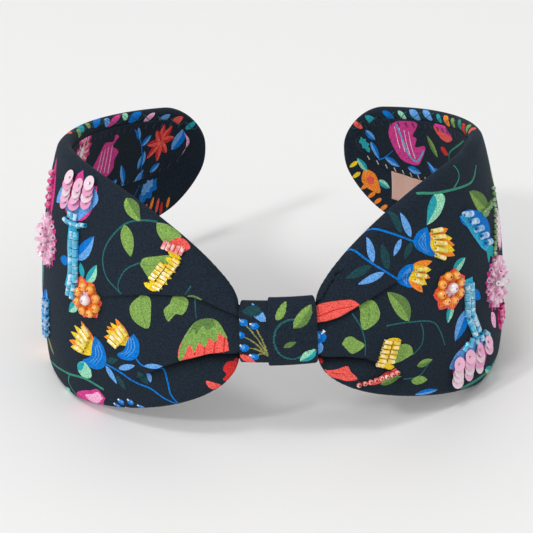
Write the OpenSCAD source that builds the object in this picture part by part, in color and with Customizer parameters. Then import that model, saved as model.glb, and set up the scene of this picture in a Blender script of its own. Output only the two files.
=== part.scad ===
// Knotted headband: two padded, cloth-covered arms held in a cloth wrap at the front,
// with a lining, slip stitches, a blank label and sewn-on beads. Units are millimetres, +Z up.
// The band stands on its lower edge at z = 0, knot at the front (-Y), open gap at the back (+Y).

/* [Plan of the band] */
// radius of the front arc, measured to the middle of the band's thickness
front_r = 78.2; // [60:0.1:100]
// angle turned by the front arc on each side, degrees
front_sweep = 42.05; // [30:0.05:55]
// radius of the tighter side arc
side_r = 60.6; // [45:0.1:80]
// angle turned by the left side arc, degrees
left_sweep = 57.1; // [40:0.1:75]
// angle turned by the right side arc, degrees
right_sweep = 55.2; // [40:0.1:75]
// radius of the back arc that runs to the tip
back_r = 85.5; // [60:0.1:120]
// length of the left arm from the front centre to the tip
left_len = 200.7; // [170:0.1:230]
// length of the right arm from the front centre to the tip
right_len = 198.3; // [170:0.1:230]
// y of the band's middle at the front centre
front_y = -68.7; // [-90:0.1:-50]

/* [Width of the band] */
// half height inside the wrap, where the cloth is gathered
neck_half = 8.6; // [6:0.1:14]
// half height at the widest place
wide_half = 40.1; // [25:0.1:50]
// half height just before the rounded tip
tip_half = 16.8; // [8:0.1:25]
// distance along the left arm to its widest place
left_wide_at = 84.6; // [70:0.1:120]
// distance along the right arm to its widest place
right_wide_at = 90.7; // [70:0.1:120]
// radius that rounds the tip
tip_round = 17.7; // [8:0.1:25]
// depth below the mid-plane at which the lower edge is flattened by the table
stand_depth = 38.6; // [25:0.1:50]
// lift of the left arm's middle line at the front
left_lift = 1.9; // [0:0.1:8]
// lift of the right arm's middle line at the front
right_lift = 3; // [0:0.1:8]
// lift of the left tip
left_tip_lift = 2.3; // [0:0.1:5]
// lift of the right tip
right_tip_lift = 0.6; // [0:0.1:5]

/* [Leaning wall] */
// how far the upper edge leans inward
lean = 3.9; // [0:0.05:8]
// how far both edges curl inward
dome = 3.2; // [0:0.05:8]

/* [Layers] */
// outer face of the cover, from the middle of the core
cover_out = 2.9; // [2:0.05:5]
// face of the turned-in cover on the head side
cover_in = -1.9; // [-4:0.05:-1]
// thickness of the cover cloth
cloth_t = 0.5; // [0.3:0.05:1]
// width turned in along the upper edge
turn_top = 5; // [3:0.5:10]
// thickness of the plastic core
core_t = 1.0; // [0.6:0.1:2]
// fraction of the thickness left where the wrap squeezes the padding
neck_squeeze = 0.75; // [0.5:0.05:1]

/* [Wrap] */
// left edge of the wrap
wrap_left = -9.9; // [-15:0.1:-5]
// right edge of the wrap
wrap_right = 12.9; // [5:0.1:18]
// left edge of the second turn, the fold seen at the front
fold_x = -1.5; // [-6:0.1:6]
// half height of the first turn
wrap_half = 9.7; // [8:0.1:14]
// thickness of one turn
wrap_t = 0.7; // [0.5:0.05:1.5]
// outer face of the first turn at the front, from the middle of the core
wrap_out = 3.3; // [3:0.05:5]
// outer face of the first turn on the head side
wrap_in = -3.45; // [-5:0.05:-3]
// clear space between the two turns
wrap_gap = 0.2; // [0.1:0.05:0.5]

/* [Beads] */
// length of a stem bugle
bugle_len = 2.5; // [2:0.1:6]
// diameter of a stem bugle
bugle_d = 2.0; // [1:0.1:3]
// diameter of a round seed bead
seed_d = 2.8; // [1.5:0.1:4]
// diameter of a sequin
sequin_d = 4.8; // [3:0.1:6]
// thickness of a sequin
sequin_t = 0.3; // [0.2:0.05:0.6]
// thread hole through every bead
hole_d = 0.8; // [0.5:0.1:1.2]

/* [Stitches] */
// thickness of the thread
stitch_d = 0.35; // [0.2:0.05:0.6]
// length of a slip stitch
stitch_len = 1.6; // [1:0.1:4]
// distance between slip stitches
stitch_pitch = 4; // [3:0.5:10]

/* [Lining] */
// head-side face of the lining
lining_in = -2.5; // [-4:0.05:-2.3]
// face of the lining against the padding
lining_out = -2.1; // [-2.4:0.05:-1.9]

/* [Label] */
// distance along the right arm to the label
label_at = 155.5; // [140:0.5:170]
// length of the label along the seam
label_len = 21; // [10:0.5:40]
// drop of the label below the seam
label_drop = 13; // [6:0.5:20]

/* [Hidden] */
$fn = 24;
DEG = 180 / PI;
L1 = front_r * front_sweep / DEG;
A1 = front_sweep;
C1 = front_r * [sin(A1), 1 - cos(A1)];
MIDZ = stand_depth;
// angle of the side arc and lift of the middle line, set by each arm's modules
$sweep = right_sweep;
$lift = right_lift;
function L2() = side_r * $sweep / DEG;
function A2() = front_sweep + $sweep;
function C2() = C1 + side_r * [sin(A2()) - sin(A1), cos(A1) - cos(A2())];
// each arm: where its cloth leaves the wrap, its widest place, its length, the lift of its tip
LEFT = [-wrap_left + 0.6, left_wide_at, left_len, left_tip_lift];
RIGHT = [wrap_right + 0.5, right_wide_at, right_len, right_tip_lift];

// path of the band's middle seen from above, s is the distance from the front centre
function lim(v, a, b) = min(max(v, a), b);
function hd(s) = s < L1 ? s / front_r * DEG
  : s < L1 + L2() ? A1 + (s - L1) / side_r * DEG : A2() + (s - L1 - L2()) / back_r * DEG;
function arc_from(c, r, a, h) = c + r * [sin(h) - sin(a), cos(a) - cos(h)];
function mid(s) = s < L1 ? arc_from([0, 0], front_r, 0, hd(s))
  : s < L1 + L2() ? arc_from(C1, side_r, A1, hd(s)) : arc_from(C2(), back_r, A2(), hd(s));

// lift of the middle line, thickness left by the wrap, and the leaning of the wall
function zc(s) = $lift * sin(180 * lim((s - 16) / 66, 0, 1));
function sq(s) = neck_squeeze + (1 - neck_squeeze) * (1 - cos(180 * lim((s - 12) / 18, 0, 1))) / 2;
function off(z) = -lean * z / 38 - dome * z * z / 1444;
function tilt(z) = atan(lean / 38 + 2 * dome * z / 1444);

// point at distance s, layer height n (squeezed at the neck), height z and extra height e
function place(s, n, z, e = 0) = let (h = hd(s), m = mid(s), o = n * sq(s) + e + off(z))
  [m[0] + o * sin(h), m[1] - o * cos(h) + front_y, z + zc(s) + MIDZ];

// half height before the tip is rounded, then upper and lower edge with a margin m
function full(s, k) = s < k[1]
  ? neck_half + (wide_half - neck_half) * pow(sin(90 * lim((s - k[0]) / (k[1] - k[0]), 0, 1)), 0.54)
  : wide_half - (wide_half - tip_half) * pow((s - k[1]) / (k[2] - k[1]), 1.25);
function rnd(s, k, m) = let (q = lim((s - k[2] + tip_round) / (tip_round - m), 0, 1))
  sqrt(1 - q * q);
function rise(s, k) = k[3] * pow(lim((s - 110) / (k[2] - 110), 0, 1), 2);
function top(s, k, m) = rise(s, k) + (full(s, k) - m) * rnd(s, k, m);
function bot(s, k, m) = rise(s, k)
  - (min(full(s, k), stand_depth + zc(s) + rise(s, k)) - m) * rnd(s, k, m);

// seam line of the lining above the turned-in lower edge
function seam(s, k) = let (b = bot(s, k, 0) + 5, t = top(s, k, 0) - 2 * turn_top,
  g = (s < 175 ? 0.0043 : 0.0124) * (s - 175) * (s - 175) - 0.5,
  w = (1 - cos(180 * lim((s - 108) / 42, 0, 1))) / 2)
  b + (min(g, t) - b) * w;

// stations along an arm between a and b, closer together near the neck and the tip
function stations(k, m) = let (a = k[0], b = k[2] - tip_round) concat(
  [for (d = [-2.4, -1, 0, 0.3, 0.9, 2, 3.6, 6, 9, 13]) a + d],
  [for (i = [0:27]) a + 17.5 + i * (b - a - 17.5) / 27],
  [for (q = [0.25, 0.45, 0.62, 0.76, 0.87, 0.94]) b + q * (tip_round - m)]);

// solid skinned over sections: every section is an outer row of w points and an inner row
module skin(secs, w) {
  n = len(secs);
  m = 2 * w;
  pts = [for (c = secs) for (p = c) p];
  sides = [for (i = [0:n - 2]) for (j = [0:m - 1]) for (t = [0, 1]) let (a = i * m + j,
    b = i * m + (j + 1) % m) t == 0 ? [a, b, b + m] : [a, b + m, a + m]];
  e = (n - 1) * m;
  first = [for (j = [0:w - 2]) for (t = [0, 1])
    t == 0 ? [j, m - 1 - j, m - 2 - j] : [j, m - 2 - j, j + 1]];
  last = [for (j = [0:w - 2]) for (t = [0, 1])
    t == 0 ? [e + m - 2 - j, e + m - 1 - j, e + j] : [e + j + 1, e + m - 2 - j, e + j]];
  polyhedron(points = pts, faces = concat(sides, first, last), convexity = 6);
}

function flip(v) = [for (i = [len(v) - 1:-1:0]) v[i]];

// flat layer between heights n0 and n1 from z a to z b
function slab_sec(s, n0, n1, a, b, w) = concat(
  [for (j = [0:w - 1]) place(s, n1, a + (b - a) * j / (w - 1))],
  [for (j = [w - 1:-1:0]) place(s, n0, a + (b - a) * j / (w - 1))]);

module layer(k, n0, n1, m, w = 6) {
  skin([for (s = stations(k, m)) slab_sec(s, n0, n1, bot(s, k, m), top(s, k, m), w)], w);
}

// folded cloth: runs from the lower turned-in edge round the outside to the upper one
function fold_row(ni, no, a, b, fa, fb) = let (r = (no - ni) / 2, c = (no + ni) / 2) concat(
  [[ni, fa], [ni, (fa + a + r) / 2]],
  [for (t = [180:30:360]) [c + r * cos(t), a + r + r * sin(t)]],
  [for (j = [1:5]) [no, a + r + (b - a - 2 * r) * j / 6]],
  [for (t = [0:30:180]) [c + r * cos(t), b - r + r * sin(t)]],
  [[ni, (fb + b - r) / 2], [ni, fb]]);

function cover_sec(s, k) = let (a = bot(s, k, 0), b = top(s, k, 0),
  ft = min(turn_top, (b - a) / 2 - 0.2), fb = min(seam(s, k), b - ft - 0.4),
  t = cloth_t, o = fold_row(cover_in, cover_out, a, b, fb, b - ft),
  i = fold_row(cover_in + t, cover_out - t, a + t, b - t, fb, b - ft))
  concat([for (p = o) place(s, p[0], p[1])], [for (p = flip(i)) place(s, p[0], p[1])]);

function turn_sec(s, g) = let (t = wrap_t, ni = wrap_in - g, no = wrap_out + g, h = wrap_half + g,
  o = fold_row(ni, no, -h, h, -0.2, 0.2), i = fold_row(ni + t, no - t, -h + t, h - t, -0.2, 0.2))
  concat([for (p = o) place(s, 0, p[1], p[0])], [for (p = flip(i)) place(s, 0, p[1], p[0])]);

// stand a piece on the cover at distance s and height z, turned by a in the cloth's plane
module on_cloth(s, z, a = 0, e = 0.15) {
  translate(place(s, cover_out, z, e)) rotate([0, 0, hd(s)]) rotate([90 - tilt(z), 0, 0])
    rotate([0, 0, a]) children();
}

module bugle(s, z, a, l, d) {
  on_cloth(s, z, a, d / 2 + 0.15) rotate([0, 90, 0]) difference() {
    cylinder(d = d, h = l, center = true);
    cylinder(d = hole_d, h = l + 2, center = true);
  }
}

module seed(s, z, d) {
  on_cloth(s, z, 0, d / 2 + 0.15) difference() {
    sphere(d = d);
    cylinder(d = hole_d, h = d + 2, center = true);
  }
}

module sequin(s, z, a) {
  on_cloth(s, z, a, sequin_d / 2 * sin(24) + 0.4) rotate([0, 24, 0]) difference() {
    cylinder(d = sequin_d, h = sequin_t, center = true);
    cylinder(d = hole_d, h = 2, center = true);
  }
}

module bugles(rows, d) {
  for (r = rows) bugle(r[0], r[1], r[2], r[3], d);
}

module seeds(rows, d) {
  for (r = rows) seed(r[0], r[1], d);
}

// column of overlapping sequins from [s, z] in direction a
module sequins(s, z, a, count) {
  for (i = [0:count - 1]) sequin(s + 2 * i * cos(a), z + 2 * i * sin(a), a);
}

// stem of bugles along the line from [s, z] to [s, z], two abreast
module stem(a, b, count) {
  t = atan2(b[1] - a[1], b[0] - a[0]);
  for (i = [0:count - 1], c = [-1, 1]) let (p = a + (b - a) * i / (count - 1)
    + c * (bugle_d / 2 + 0.12) * [-sin(t), cos(t)]) bugle(p[0], p[1], t, bugle_len, bugle_d);
}

// the large pink flower: two rings of bugles, see petals
crystal_tiers = [[14, 6.2, 4.4, 0, 0, 6], [8, 3.9, 3, 0.5, 1.7, 20]];

// rings of bugles set like petals, each [count, radius, length, turn, height, slope]
module petals(s, z, tiers) {
  for (t = tiers, i = [0:t[0] - 1]) let (a = 360 * (i + t[3]) / t[0], r = t[1])
    on_cloth(s + r * cos(a), z + r * sin(a), a, 1 + t[4]) rotate([0, 90 - t[5], 0]) difference() {
      cylinder(d = 1.6, h = t[2], center = true);
      cylinder(d = hole_d, h = t[2] + 2, center = true);
    }
}

// round beads set in a ring
module seed_ring(s, z, r, count, turn) {
  seeds([for (i = [0:count - 1]) let (a = turn + 360 * i / count) [s + r * cos(a), z + r * sin(a)]],
    seed_d);
}

module edge_stitches(k) {
  for (s = [k[0] + 9:stitch_pitch:190]) inner_stitch(s, top(s, k, 0) - turn_top - 0.3);
}

module slip_stitches(k) {
  for (s = [k[0] + 9:stitch_pitch:190]) inner_stitch(s, seam(s, k) + 0.3);
}

module inner_stitch(s, z) {
  translate(place(s, lining_in, z - 0.4, -0.3)) rotate([0, 0, hd(s)]) rotate([-tilt(z), 30, 0])
    cylinder(d = stitch_d, h = stitch_len, center = true);
}

module lining(k) {
  skin([for (s = concat([for (d = [2, 4, 7]) k[0] + d], [for (i = [0:34])
    k[0] + 11 + i * (193 - k[0] - 11) / 34]))
    slab_sec(s, lining_in, lining_out, seam(s, k) - 1.2, top(s, k, 0) - turn_top + 1.2, 6)], 6);
}

module core_bridge() {
  color([0.9, 0.9, 0.86]) pad_block(-core_t / 2, core_t / 2, 4.2);
}

module pad_block(e0, e1, h) {
  skin([for (i = [0:8]) let (s = wrap_left + 2.8 + i * (wrap_right - wrap_left - 5.4) / 8)
    concat([for (j = [0:4]) place(s, 0, -h + h * j / 2, e1)],
    [for (j = [4:-1:0]) place(s, 0, -h + h * j / 2, e0)])], 5);
}

module knot_filler() {
  color([0.93, 0.92, 0.88]) pad_block(0.7, 2.2, 7.2);
  color([0.93, 0.92, 0.88]) pad_block(-2.4, -0.7, 7.2);
}

module wrap_turn(a, b, g) {
  skin([for (i = [0:8]) turn_sec(a + (b - a) * i / 8, g)], 23);
}

module wrap_under() {
  color([0.08, 0.1, 0.15]) wrap_turn(wrap_left, wrap_right - 1.2, 0);
}

module wrap_over() {
  color([0.09, 0.11, 0.16]) wrap_turn(fold_x, wrap_right, wrap_t + wrap_gap);
}

module wrap_stitches() {
  color([0.15, 0.16, 0.2]) for (s = [fold_x + 2:2.4:wrap_right - 1])
    translate(place(s, 0, 0, wrap_in - wrap_t - wrap_gap - stitch_d)) rotate([0, 0, hd(s)]) rotate([0, 25, 0])
      cylinder(d = stitch_d, h = 2.6, center = true);
}

module core(k) {
  color([0.9, 0.9, 0.86]) layer(k, -core_t / 2, core_t / 2, 5);
}

module foam(k) {
  color([0.95, 0.94, 0.86]) layer(k, 0.65, 2.2, 2);
}

module inner_pad(k) {
  color([0.95, 0.94, 0.86]) layer(k, -1.25, -0.65, 3);
}

module cover(k) {
  color([0.08, 0.1, 0.15]) skin([for (s = stations(k, 0)) cover_sec(s, k)], 23);
}

// the left arm is made like the right one, with its own sweep and lift, and mirrored
module left_arm() {
  $sweep = left_sweep;
  $lift = left_lift;
  mirror([1, 0, 0]) children();
}

module left_core() {
  left_arm() core(LEFT);
}

module left_foam() {
  left_arm() foam(LEFT);
}

module left_inner_pad() {
  left_arm() inner_pad(LEFT);
}

module left_cover() {
  left_arm() cover(LEFT);
}

module left_lining() {
  color([0.07, 0.08, 0.12]) left_arm() lining(LEFT);
}

module left_edge_stitches() {
  color([0.2, 0.2, 0.24]) left_arm() edge_stitches(LEFT);
}

module left_slip_stitches() {
  color([0.2, 0.2, 0.24]) left_arm() slip_stitches(LEFT);
}

module left_pink_sequins() {
  color([0.96, 0.7, 0.83]) left_arm() {
    sequins(64.7, 31, 92, 4);
    sequins(71, 29, 98, 4);
    sequins(77, 28, 92, 5);
  }
}

module left_cyan_bugles() {
  color([0.18, 0.7, 0.83]) left_arm() {
    stem([69.4, 19.2], [68.1, 5.6], 6);
    stem([68.5, 2.8], [69.1, 0.1], 2);
    bugles([[75.4, 22.1, 6, 3], [72.2, 22.3, 0, 3], [69, 22.5, -3, 3], [65.8, 23.3, -14, 3],
      [73.8, 24.9, 92, 2.2], [72, 24.9, 92, 2.2], [70.2, 24.9, 92, 2.2]], 1.5);
  }
}

module left_orange_beads() {
  color([0.96, 0.54, 0.12]) left_arm() seed_ring(60.7, 0.4, 4.3, 8, 22);
}

module left_pearl() {
  color([0.95, 0.92, 0.9]) left_arm() seed(60.9, 0.5, 3.4);
}

module left_crocus_bugles() {
  color([0.96, 0.83, 0.1]) left_arm() {
    bugles([[46.6, -5.9, 45, 3.8], [47.6, -7.3, 40, 4.2], [48.6, -8.7, 35, 4.2], [49.6, -10.1, 30, 4],
      [50.6, -11.5, 25, 3.6]], 1.4);
    bugles([[61.7, -10.8, 43, 4], [62.5, -12.7, 33, 4.4], [63.3, -14.5, 23, 4.6],
      [64.1, -16.3, 13, 4.4], [64.9, -18.2, 3, 4]], 1.5);
  }
}

module left_fringe_bugles() {
  color([0.96, 0.83, 0.1]) left_arm() {
    bugles([for (i = [0:8]) [29.2 + 0.76 * i, 21 - 1.24 * i, 28 - 2 * i, 2.5]], 1.25);
    bugles([for (i = [0:4]) [33.7 + 0.78 * i, 18.6 - 1.24 * i, 26 - 2 * i, 2.2]], 1.25);
  }
}

module left_crystal_flower() {
  color([0.95, 0.74, 0.84]) left_arm() {
    petals(90.5, 10.3, crystal_tiers);
    seed(90.5, 10.3, 3.4);
  }
}

module left_magenta_beads() {
  color([0.85, 0.1, 0.5]) left_arm() seeds([for (i = [0:4]) [94.6 - 0.55 * i, 31.2 - 2.5 * i]], 2.3);
}

module left_blue_beads() {
  color([0.1, 0.45, 0.85]) left_arm() for (i = [0:4])
    bugles([[86.6 + 0.4 * i, -10.6 - 3 * i, -60, 2.6], [90.2 + 0.4 * i, -11.6 - 3 * i, -60, 2.6]], 1.9);
}

module left_coral_beads() {
  color([0.94, 0.45, 0.4]) left_arm() bugles([for (i = [0:4])
    [27.6 + 1.45 * i, 24.4 + 0.15 * i, 112, 2.6]], 1.3);
}

module right_core() {
  core(RIGHT);
}

module right_foam() {
  foam(RIGHT);
}

module right_inner_pad() {
  inner_pad(RIGHT);
}

module right_cover() {
  cover(RIGHT);
}

module right_lining() {
  color([0.07, 0.08, 0.12]) lining(RIGHT);
}

module right_edge_stitches() {
  color([0.2, 0.2, 0.24]) edge_stitches(RIGHT);
}

module right_slip_stitches() {
  color([0.75, 0.73, 0.68]) slip_stitches(RIGHT);
}

module right_label() {
  color([0.91, 0.7, 0.61]) skin([for (i = [0:6]) let (s = label_at + label_len * i / 6,
    t = seam(s, RIGHT) - 1.4)
    slab_sec(s, lining_in, lining_out, t - label_drop + max(0, i - 4), t, 5)], 5);
}

module right_pink_sequins() {
  color([0.96, 0.7, 0.83]) {
    sequins(60.4, -25.2, -94, 4);
    sequins(65.6, -24.4, -95, 4);
    sequins(71, -23.8, -94, 4);
    sequins(76.3, -23, -90, 2);
  }
}

module right_cyan_bugles() {
  color([0.18, 0.7, 0.83]) {
    stem([66.2, -0.3], [65.9, -8.5], 4);
    stem([66.8, -11.4], [69, -16.1], 3);
    bugles([[63.9, -20.4, 40, 3], [66.7, -19.8, 62, 3], [69.7, -19.8, 90, 2.6],
      [72.7, -19.8, 118, 3], [75.7, -19.6, 140, 3]], 1.6);
  }
}

module right_orange_beads() {
  color([0.96, 0.54, 0.12]) seed_ring(57.6, 2.2, 4.3, 8, 12);
}

module right_pearls() {
  color([0.95, 0.92, 0.9]) {
    seed(58, 2.3, 3.4);
    seed(85.5, -5.2, 3.4);
  }
}

module right_crocus_bugles() {
  color([0.96, 0.83, 0.1]) {
    bugles([[54.6, 21.6, -8, 4.2], [55.3, 19.5, -14, 4.4], [55.5, 17.4, -20, 4.6],
      [55.3, 15.3, -26, 4.4], [54.8, 13.2, -32, 4]], 1.5);
    bugles([[46.8, 11.4, -12, 3.6], [46.8, 9.5, -24, 3.6], [45.8, 7.8, -36, 3.4]], 1.4);
  }
}

module right_fringe_bugles() {
  color([0.96, 0.83, 0.1]) {
    bugles([for (i = [0:5]) [34.2 - 0.5 * i, -8.4 - 1.4 * i, -22, 2.6]], 1.35);
    bugles([for (i = [0:4]) [37 - 0.5 * i, -9.6 - 1.4 * i, -22, 2.4]], 1.35);
  }
}

module right_crystal_flower() {
  color([0.95, 0.74, 0.84]) petals(85.5, -5.2, crystal_tiers);
}

module right_magenta_beads() {
  color([0.85, 0.1, 0.5]) bugles([[88.4, -17.6, -72, 2.8], [91, -17.2, -74, 2.8],
    [89.4, -21, -72, 2.8], [92, -20.6, -74, 2.8]], 1.8);
}

module right_blue_beads() {
  color([0.1, 0.6, 0.85]) bugles([for (i = [0:4]) [69.6 + 2.6 * i, 23 - 3.05 * i, -15, 4]], 2.15);
}

module right_green_beads() {
  color([0.45, 0.66, 0.35]) {
    seeds([for (i = [0:5]) [80.2 + 1.8 * i, 20.4 - 0.1 * i]], 1.5);
    seeds([for (i = [0:12]) [95.6 - 0.85 * i, 22.6 - 1.5 * i]], 1.5);
  }
}

module right_coral_beads() {
  color([0.94, 0.45, 0.4]) seeds([for (i = [0:7]) [25 + 1.75 * i, -20]], 1.6);
}

core_bridge();
knot_filler();
wrap_under();
wrap_over();
wrap_stitches();
left_core();
left_foam();
left_inner_pad();
left_cover();
left_lining();
left_edge_stitches();
left_slip_stitches();
left_pink_sequins();
left_cyan_bugles();
left_orange_beads();
left_pearl();
left_crocus_bugles();
left_fringe_bugles();
left_crystal_flower();
left_magenta_beads();
left_blue_beads();
left_coral_beads();
right_core();
right_foam();
right_inner_pad();
right_cover();
right_lining();
right_edge_stitches();
right_slip_stitches();
right_label();
right_pink_sequins();
right_cyan_bugles();
right_orange_beads();
right_pearls();
right_crocus_bugles();
right_fringe_bugles();
right_crystal_flower();
right_magenta_beads();
right_blue_beads();
right_green_beads();
right_coral_beads();
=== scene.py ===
import math

import bpy
import numpy as np
from bpy.props import FloatProperty, FloatVectorProperty, IntProperty, PointerProperty
from mathutils import Matrix, Vector
from mathutils.geometry import delaunay_2d_cdt


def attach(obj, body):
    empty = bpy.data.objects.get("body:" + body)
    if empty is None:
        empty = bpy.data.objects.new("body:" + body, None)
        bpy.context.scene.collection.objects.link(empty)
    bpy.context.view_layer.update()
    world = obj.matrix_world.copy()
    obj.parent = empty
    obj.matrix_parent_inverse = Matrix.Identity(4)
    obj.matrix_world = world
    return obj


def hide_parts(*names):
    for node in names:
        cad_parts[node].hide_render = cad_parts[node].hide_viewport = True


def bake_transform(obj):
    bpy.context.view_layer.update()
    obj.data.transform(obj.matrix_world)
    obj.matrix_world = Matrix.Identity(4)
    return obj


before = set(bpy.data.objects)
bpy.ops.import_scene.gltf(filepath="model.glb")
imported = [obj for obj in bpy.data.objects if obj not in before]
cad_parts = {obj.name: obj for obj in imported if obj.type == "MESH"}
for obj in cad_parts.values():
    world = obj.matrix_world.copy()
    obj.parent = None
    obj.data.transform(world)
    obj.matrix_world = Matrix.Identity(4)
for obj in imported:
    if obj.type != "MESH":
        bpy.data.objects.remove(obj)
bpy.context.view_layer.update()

bl_info = {
    "name": "Knotted headband",
    "version": (1, 0, 0),
    "blender": (4, 5, 0),
    "location": "View3D > Sidebar > Headband",
    "description": "Printed cloth, lining, wrap, label, bead finishes and stage for a padded knotted headband",
    "category": "Object",
}

MM = 0.001
LEFT, RIGHT = -1, 1
SIDES = {"left": LEFT, "right": RIGHT}


# ---------------------------------------------------------------- settings

def size(label, words, value):
    return FloatProperty(name=label, description=words, default=value, precision=2)


def tint(label, value):
    return FloatVectorProperty(name=label, description=label + " of the printed cloth",
                               subtype="COLOR", size=3, min=0, max=1, default=value)


class BandSizes(bpy.types.PropertyGroup):
    """Sizes of the band in millimetres, the same as the parts inside it."""
    front_r: size("Front radius", "Radius of the front arc, mm", 78.2)
    front_sweep: size("Front sweep", "Angle of the front arc, degrees", 42.05)
    side_r: size("Side radius", "Radius of the side arc, mm", 60.6)
    left_sweep: size("Left sweep", "Angle of the left side arc, degrees", 57.1)
    right_sweep: size("Right sweep", "Angle of the right side arc, degrees", 55.2)
    back_r: size("Back radius", "Radius of the back arc, mm", 85.5)
    left_len: size("Left arm", "Front centre to the left tip, mm", 200.7)
    right_len: size("Right arm", "Front centre to the right tip, mm", 198.3)
    front_y: size("Front", "y of the band's middle at the front, mm", -68.7)
    neck_half: size("Neck", "Half height inside the wrap, mm", 8.6)
    wide_half: size("Widest", "Half height at the widest place, mm", 40.1)
    tip_half: size("Tip", "Half height before the rounded tip, mm", 16.8)
    left_wide_at: size("Left widest at", "Distance to the left arm's widest place, mm", 84.6)
    right_wide_at: size("Right widest at", "Distance to the right arm's widest place, mm", 90.7)
    tip_round: size("Tip rounding", "Length over which the tip is rounded, mm", 17.7)
    stand_depth: size("Stand depth", "Flat lower edge below the middle, mm", 38.6)
    left_lift: size("Left lift", "Lift of the left arm's middle line, mm", 1.9)
    right_lift: size("Right lift", "Lift of the right arm's middle line, mm", 3.0)
    left_tip_lift: size("Left tip lift", "Lift of the left tip, mm", 2.3)
    right_tip_lift: size("Right tip lift", "Lift of the right tip, mm", 0.6)
    lean: size("Lean", "How far the upper edge leans in, mm", 3.9)
    dome: size("Dome", "How far both edges curl in, mm", 3.2)
    squeeze: size("Squeeze", "Thickness left at the knot", 0.75)
    crown: size("Crown", "Swell of the padding under the cover, mm", 0.45)
    wrap_left: size("Wrap left", "Left edge of the wrap, mm", -9.9)
    wrap_right: size("Wrap right", "Right edge of the wrap, mm", 12.9)
    wrap_half: size("Wrap half height", "Half height of the first turn, mm", 9.7)
    wrap_out: size("Wrap outside", "Outside of the first turn from the band's middle, mm", 3.3)
    wrap_in: size("Wrap inside", "Head side of the first turn from the band's middle, mm", -3.45)
    wrap_t: size("Wrap thickness", "Thickness of one turn, mm", 0.7)
    wrap_gap: size("Wrap gap", "Gap between the two turns, mm", 0.2)
    fold_x: size("Fold", "Left edge of the wrap's second turn, mm", -1.5)


class PrintColours(bpy.types.PropertyGroup):
    """Colours of the printed cloth."""
    ground: tint("Ground", (0.0128, 0.0212, 0.0325))
    leaf: tint("Leaf green", (0.21, 0.36, 0.085))
    leaf_dark: tint("Dark leaf", (0.12, 0.22, 0.06))
    teal_dark: tint("Dark teal", (0.014, 0.06, 0.07))
    vine: tint("Vine teal", (0.02, 0.12, 0.13))
    vine_green: tint("Vine green", (0.04, 0.25, 0.17))
    sky: tint("Light blue", (0.13, 0.36, 0.76))
    royal: tint("Royal blue", (0.002, 0.17, 0.6))
    cyan: tint("Cyan", (0.04, 0.44, 0.67))
    orange: tint("Orange", (0.9, 0.26, 0.03))
    coral: tint("Coral", (0.84, 0.11, 0.09))
    red: tint("Red", (0.62, 0.03, 0.03))
    yellow: tint("Yellow", (0.88, 0.63, 0.03))
    magenta: tint("Magenta", (0.64, 0.05, 0.27))
    pink: tint("Pink", (0.87, 0.44, 0.64))
    rose: tint("Pale rose", (0.88, 0.66, 0.76))
    petal: tint("Petal pink", (0.85, 0.3, 0.55))
    mint: tint("Mint", (0.3, 0.68, 0.47))
    teal: tint("Teal", (0.02, 0.35, 0.41))
    olive: tint("Olive", (0.26, 0.26, 0.08))
    white: tint("White", (0.85, 0.87, 0.9))


class StageSettings(bpy.types.PropertyGroup):
    """Camera and light."""
    elevation: size("Elevation", "Camera height above the horizon, degrees", 25.33)
    distance: size("Distance", "Camera to the band's middle, mm", 698.7)
    roll: size("Roll", "Turn of the camera about its line of sight, degrees", -1.22)
    lens: size("Lens", "Focal length on a 36 mm frame, mm", 141.6)
    aim_x: size("Aim x", "x of the point looked at, mm", -2.0)
    aim_y: size("Aim y", "y of the point looked at, mm", -3.2)
    aim_z: size("Aim z", "z of the point looked at, mm", 28.4)
    key: size("Key light", "Power of the light at the front left, W", 17.0)
    above: size("Light above", "Power of the light above the front, W", 11.0)
    world: size("Surroundings", "Brightness of the surroundings", 0.76)


# ---------------------------------------------------------------- the band's surface

def ease(v, a, b):
    """0 before a, 1 after b, half a cosine wave between."""
    return (1 - np.cos(np.pi * np.clip((v - a) / (b - a), 0, 1))) / 2


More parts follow.
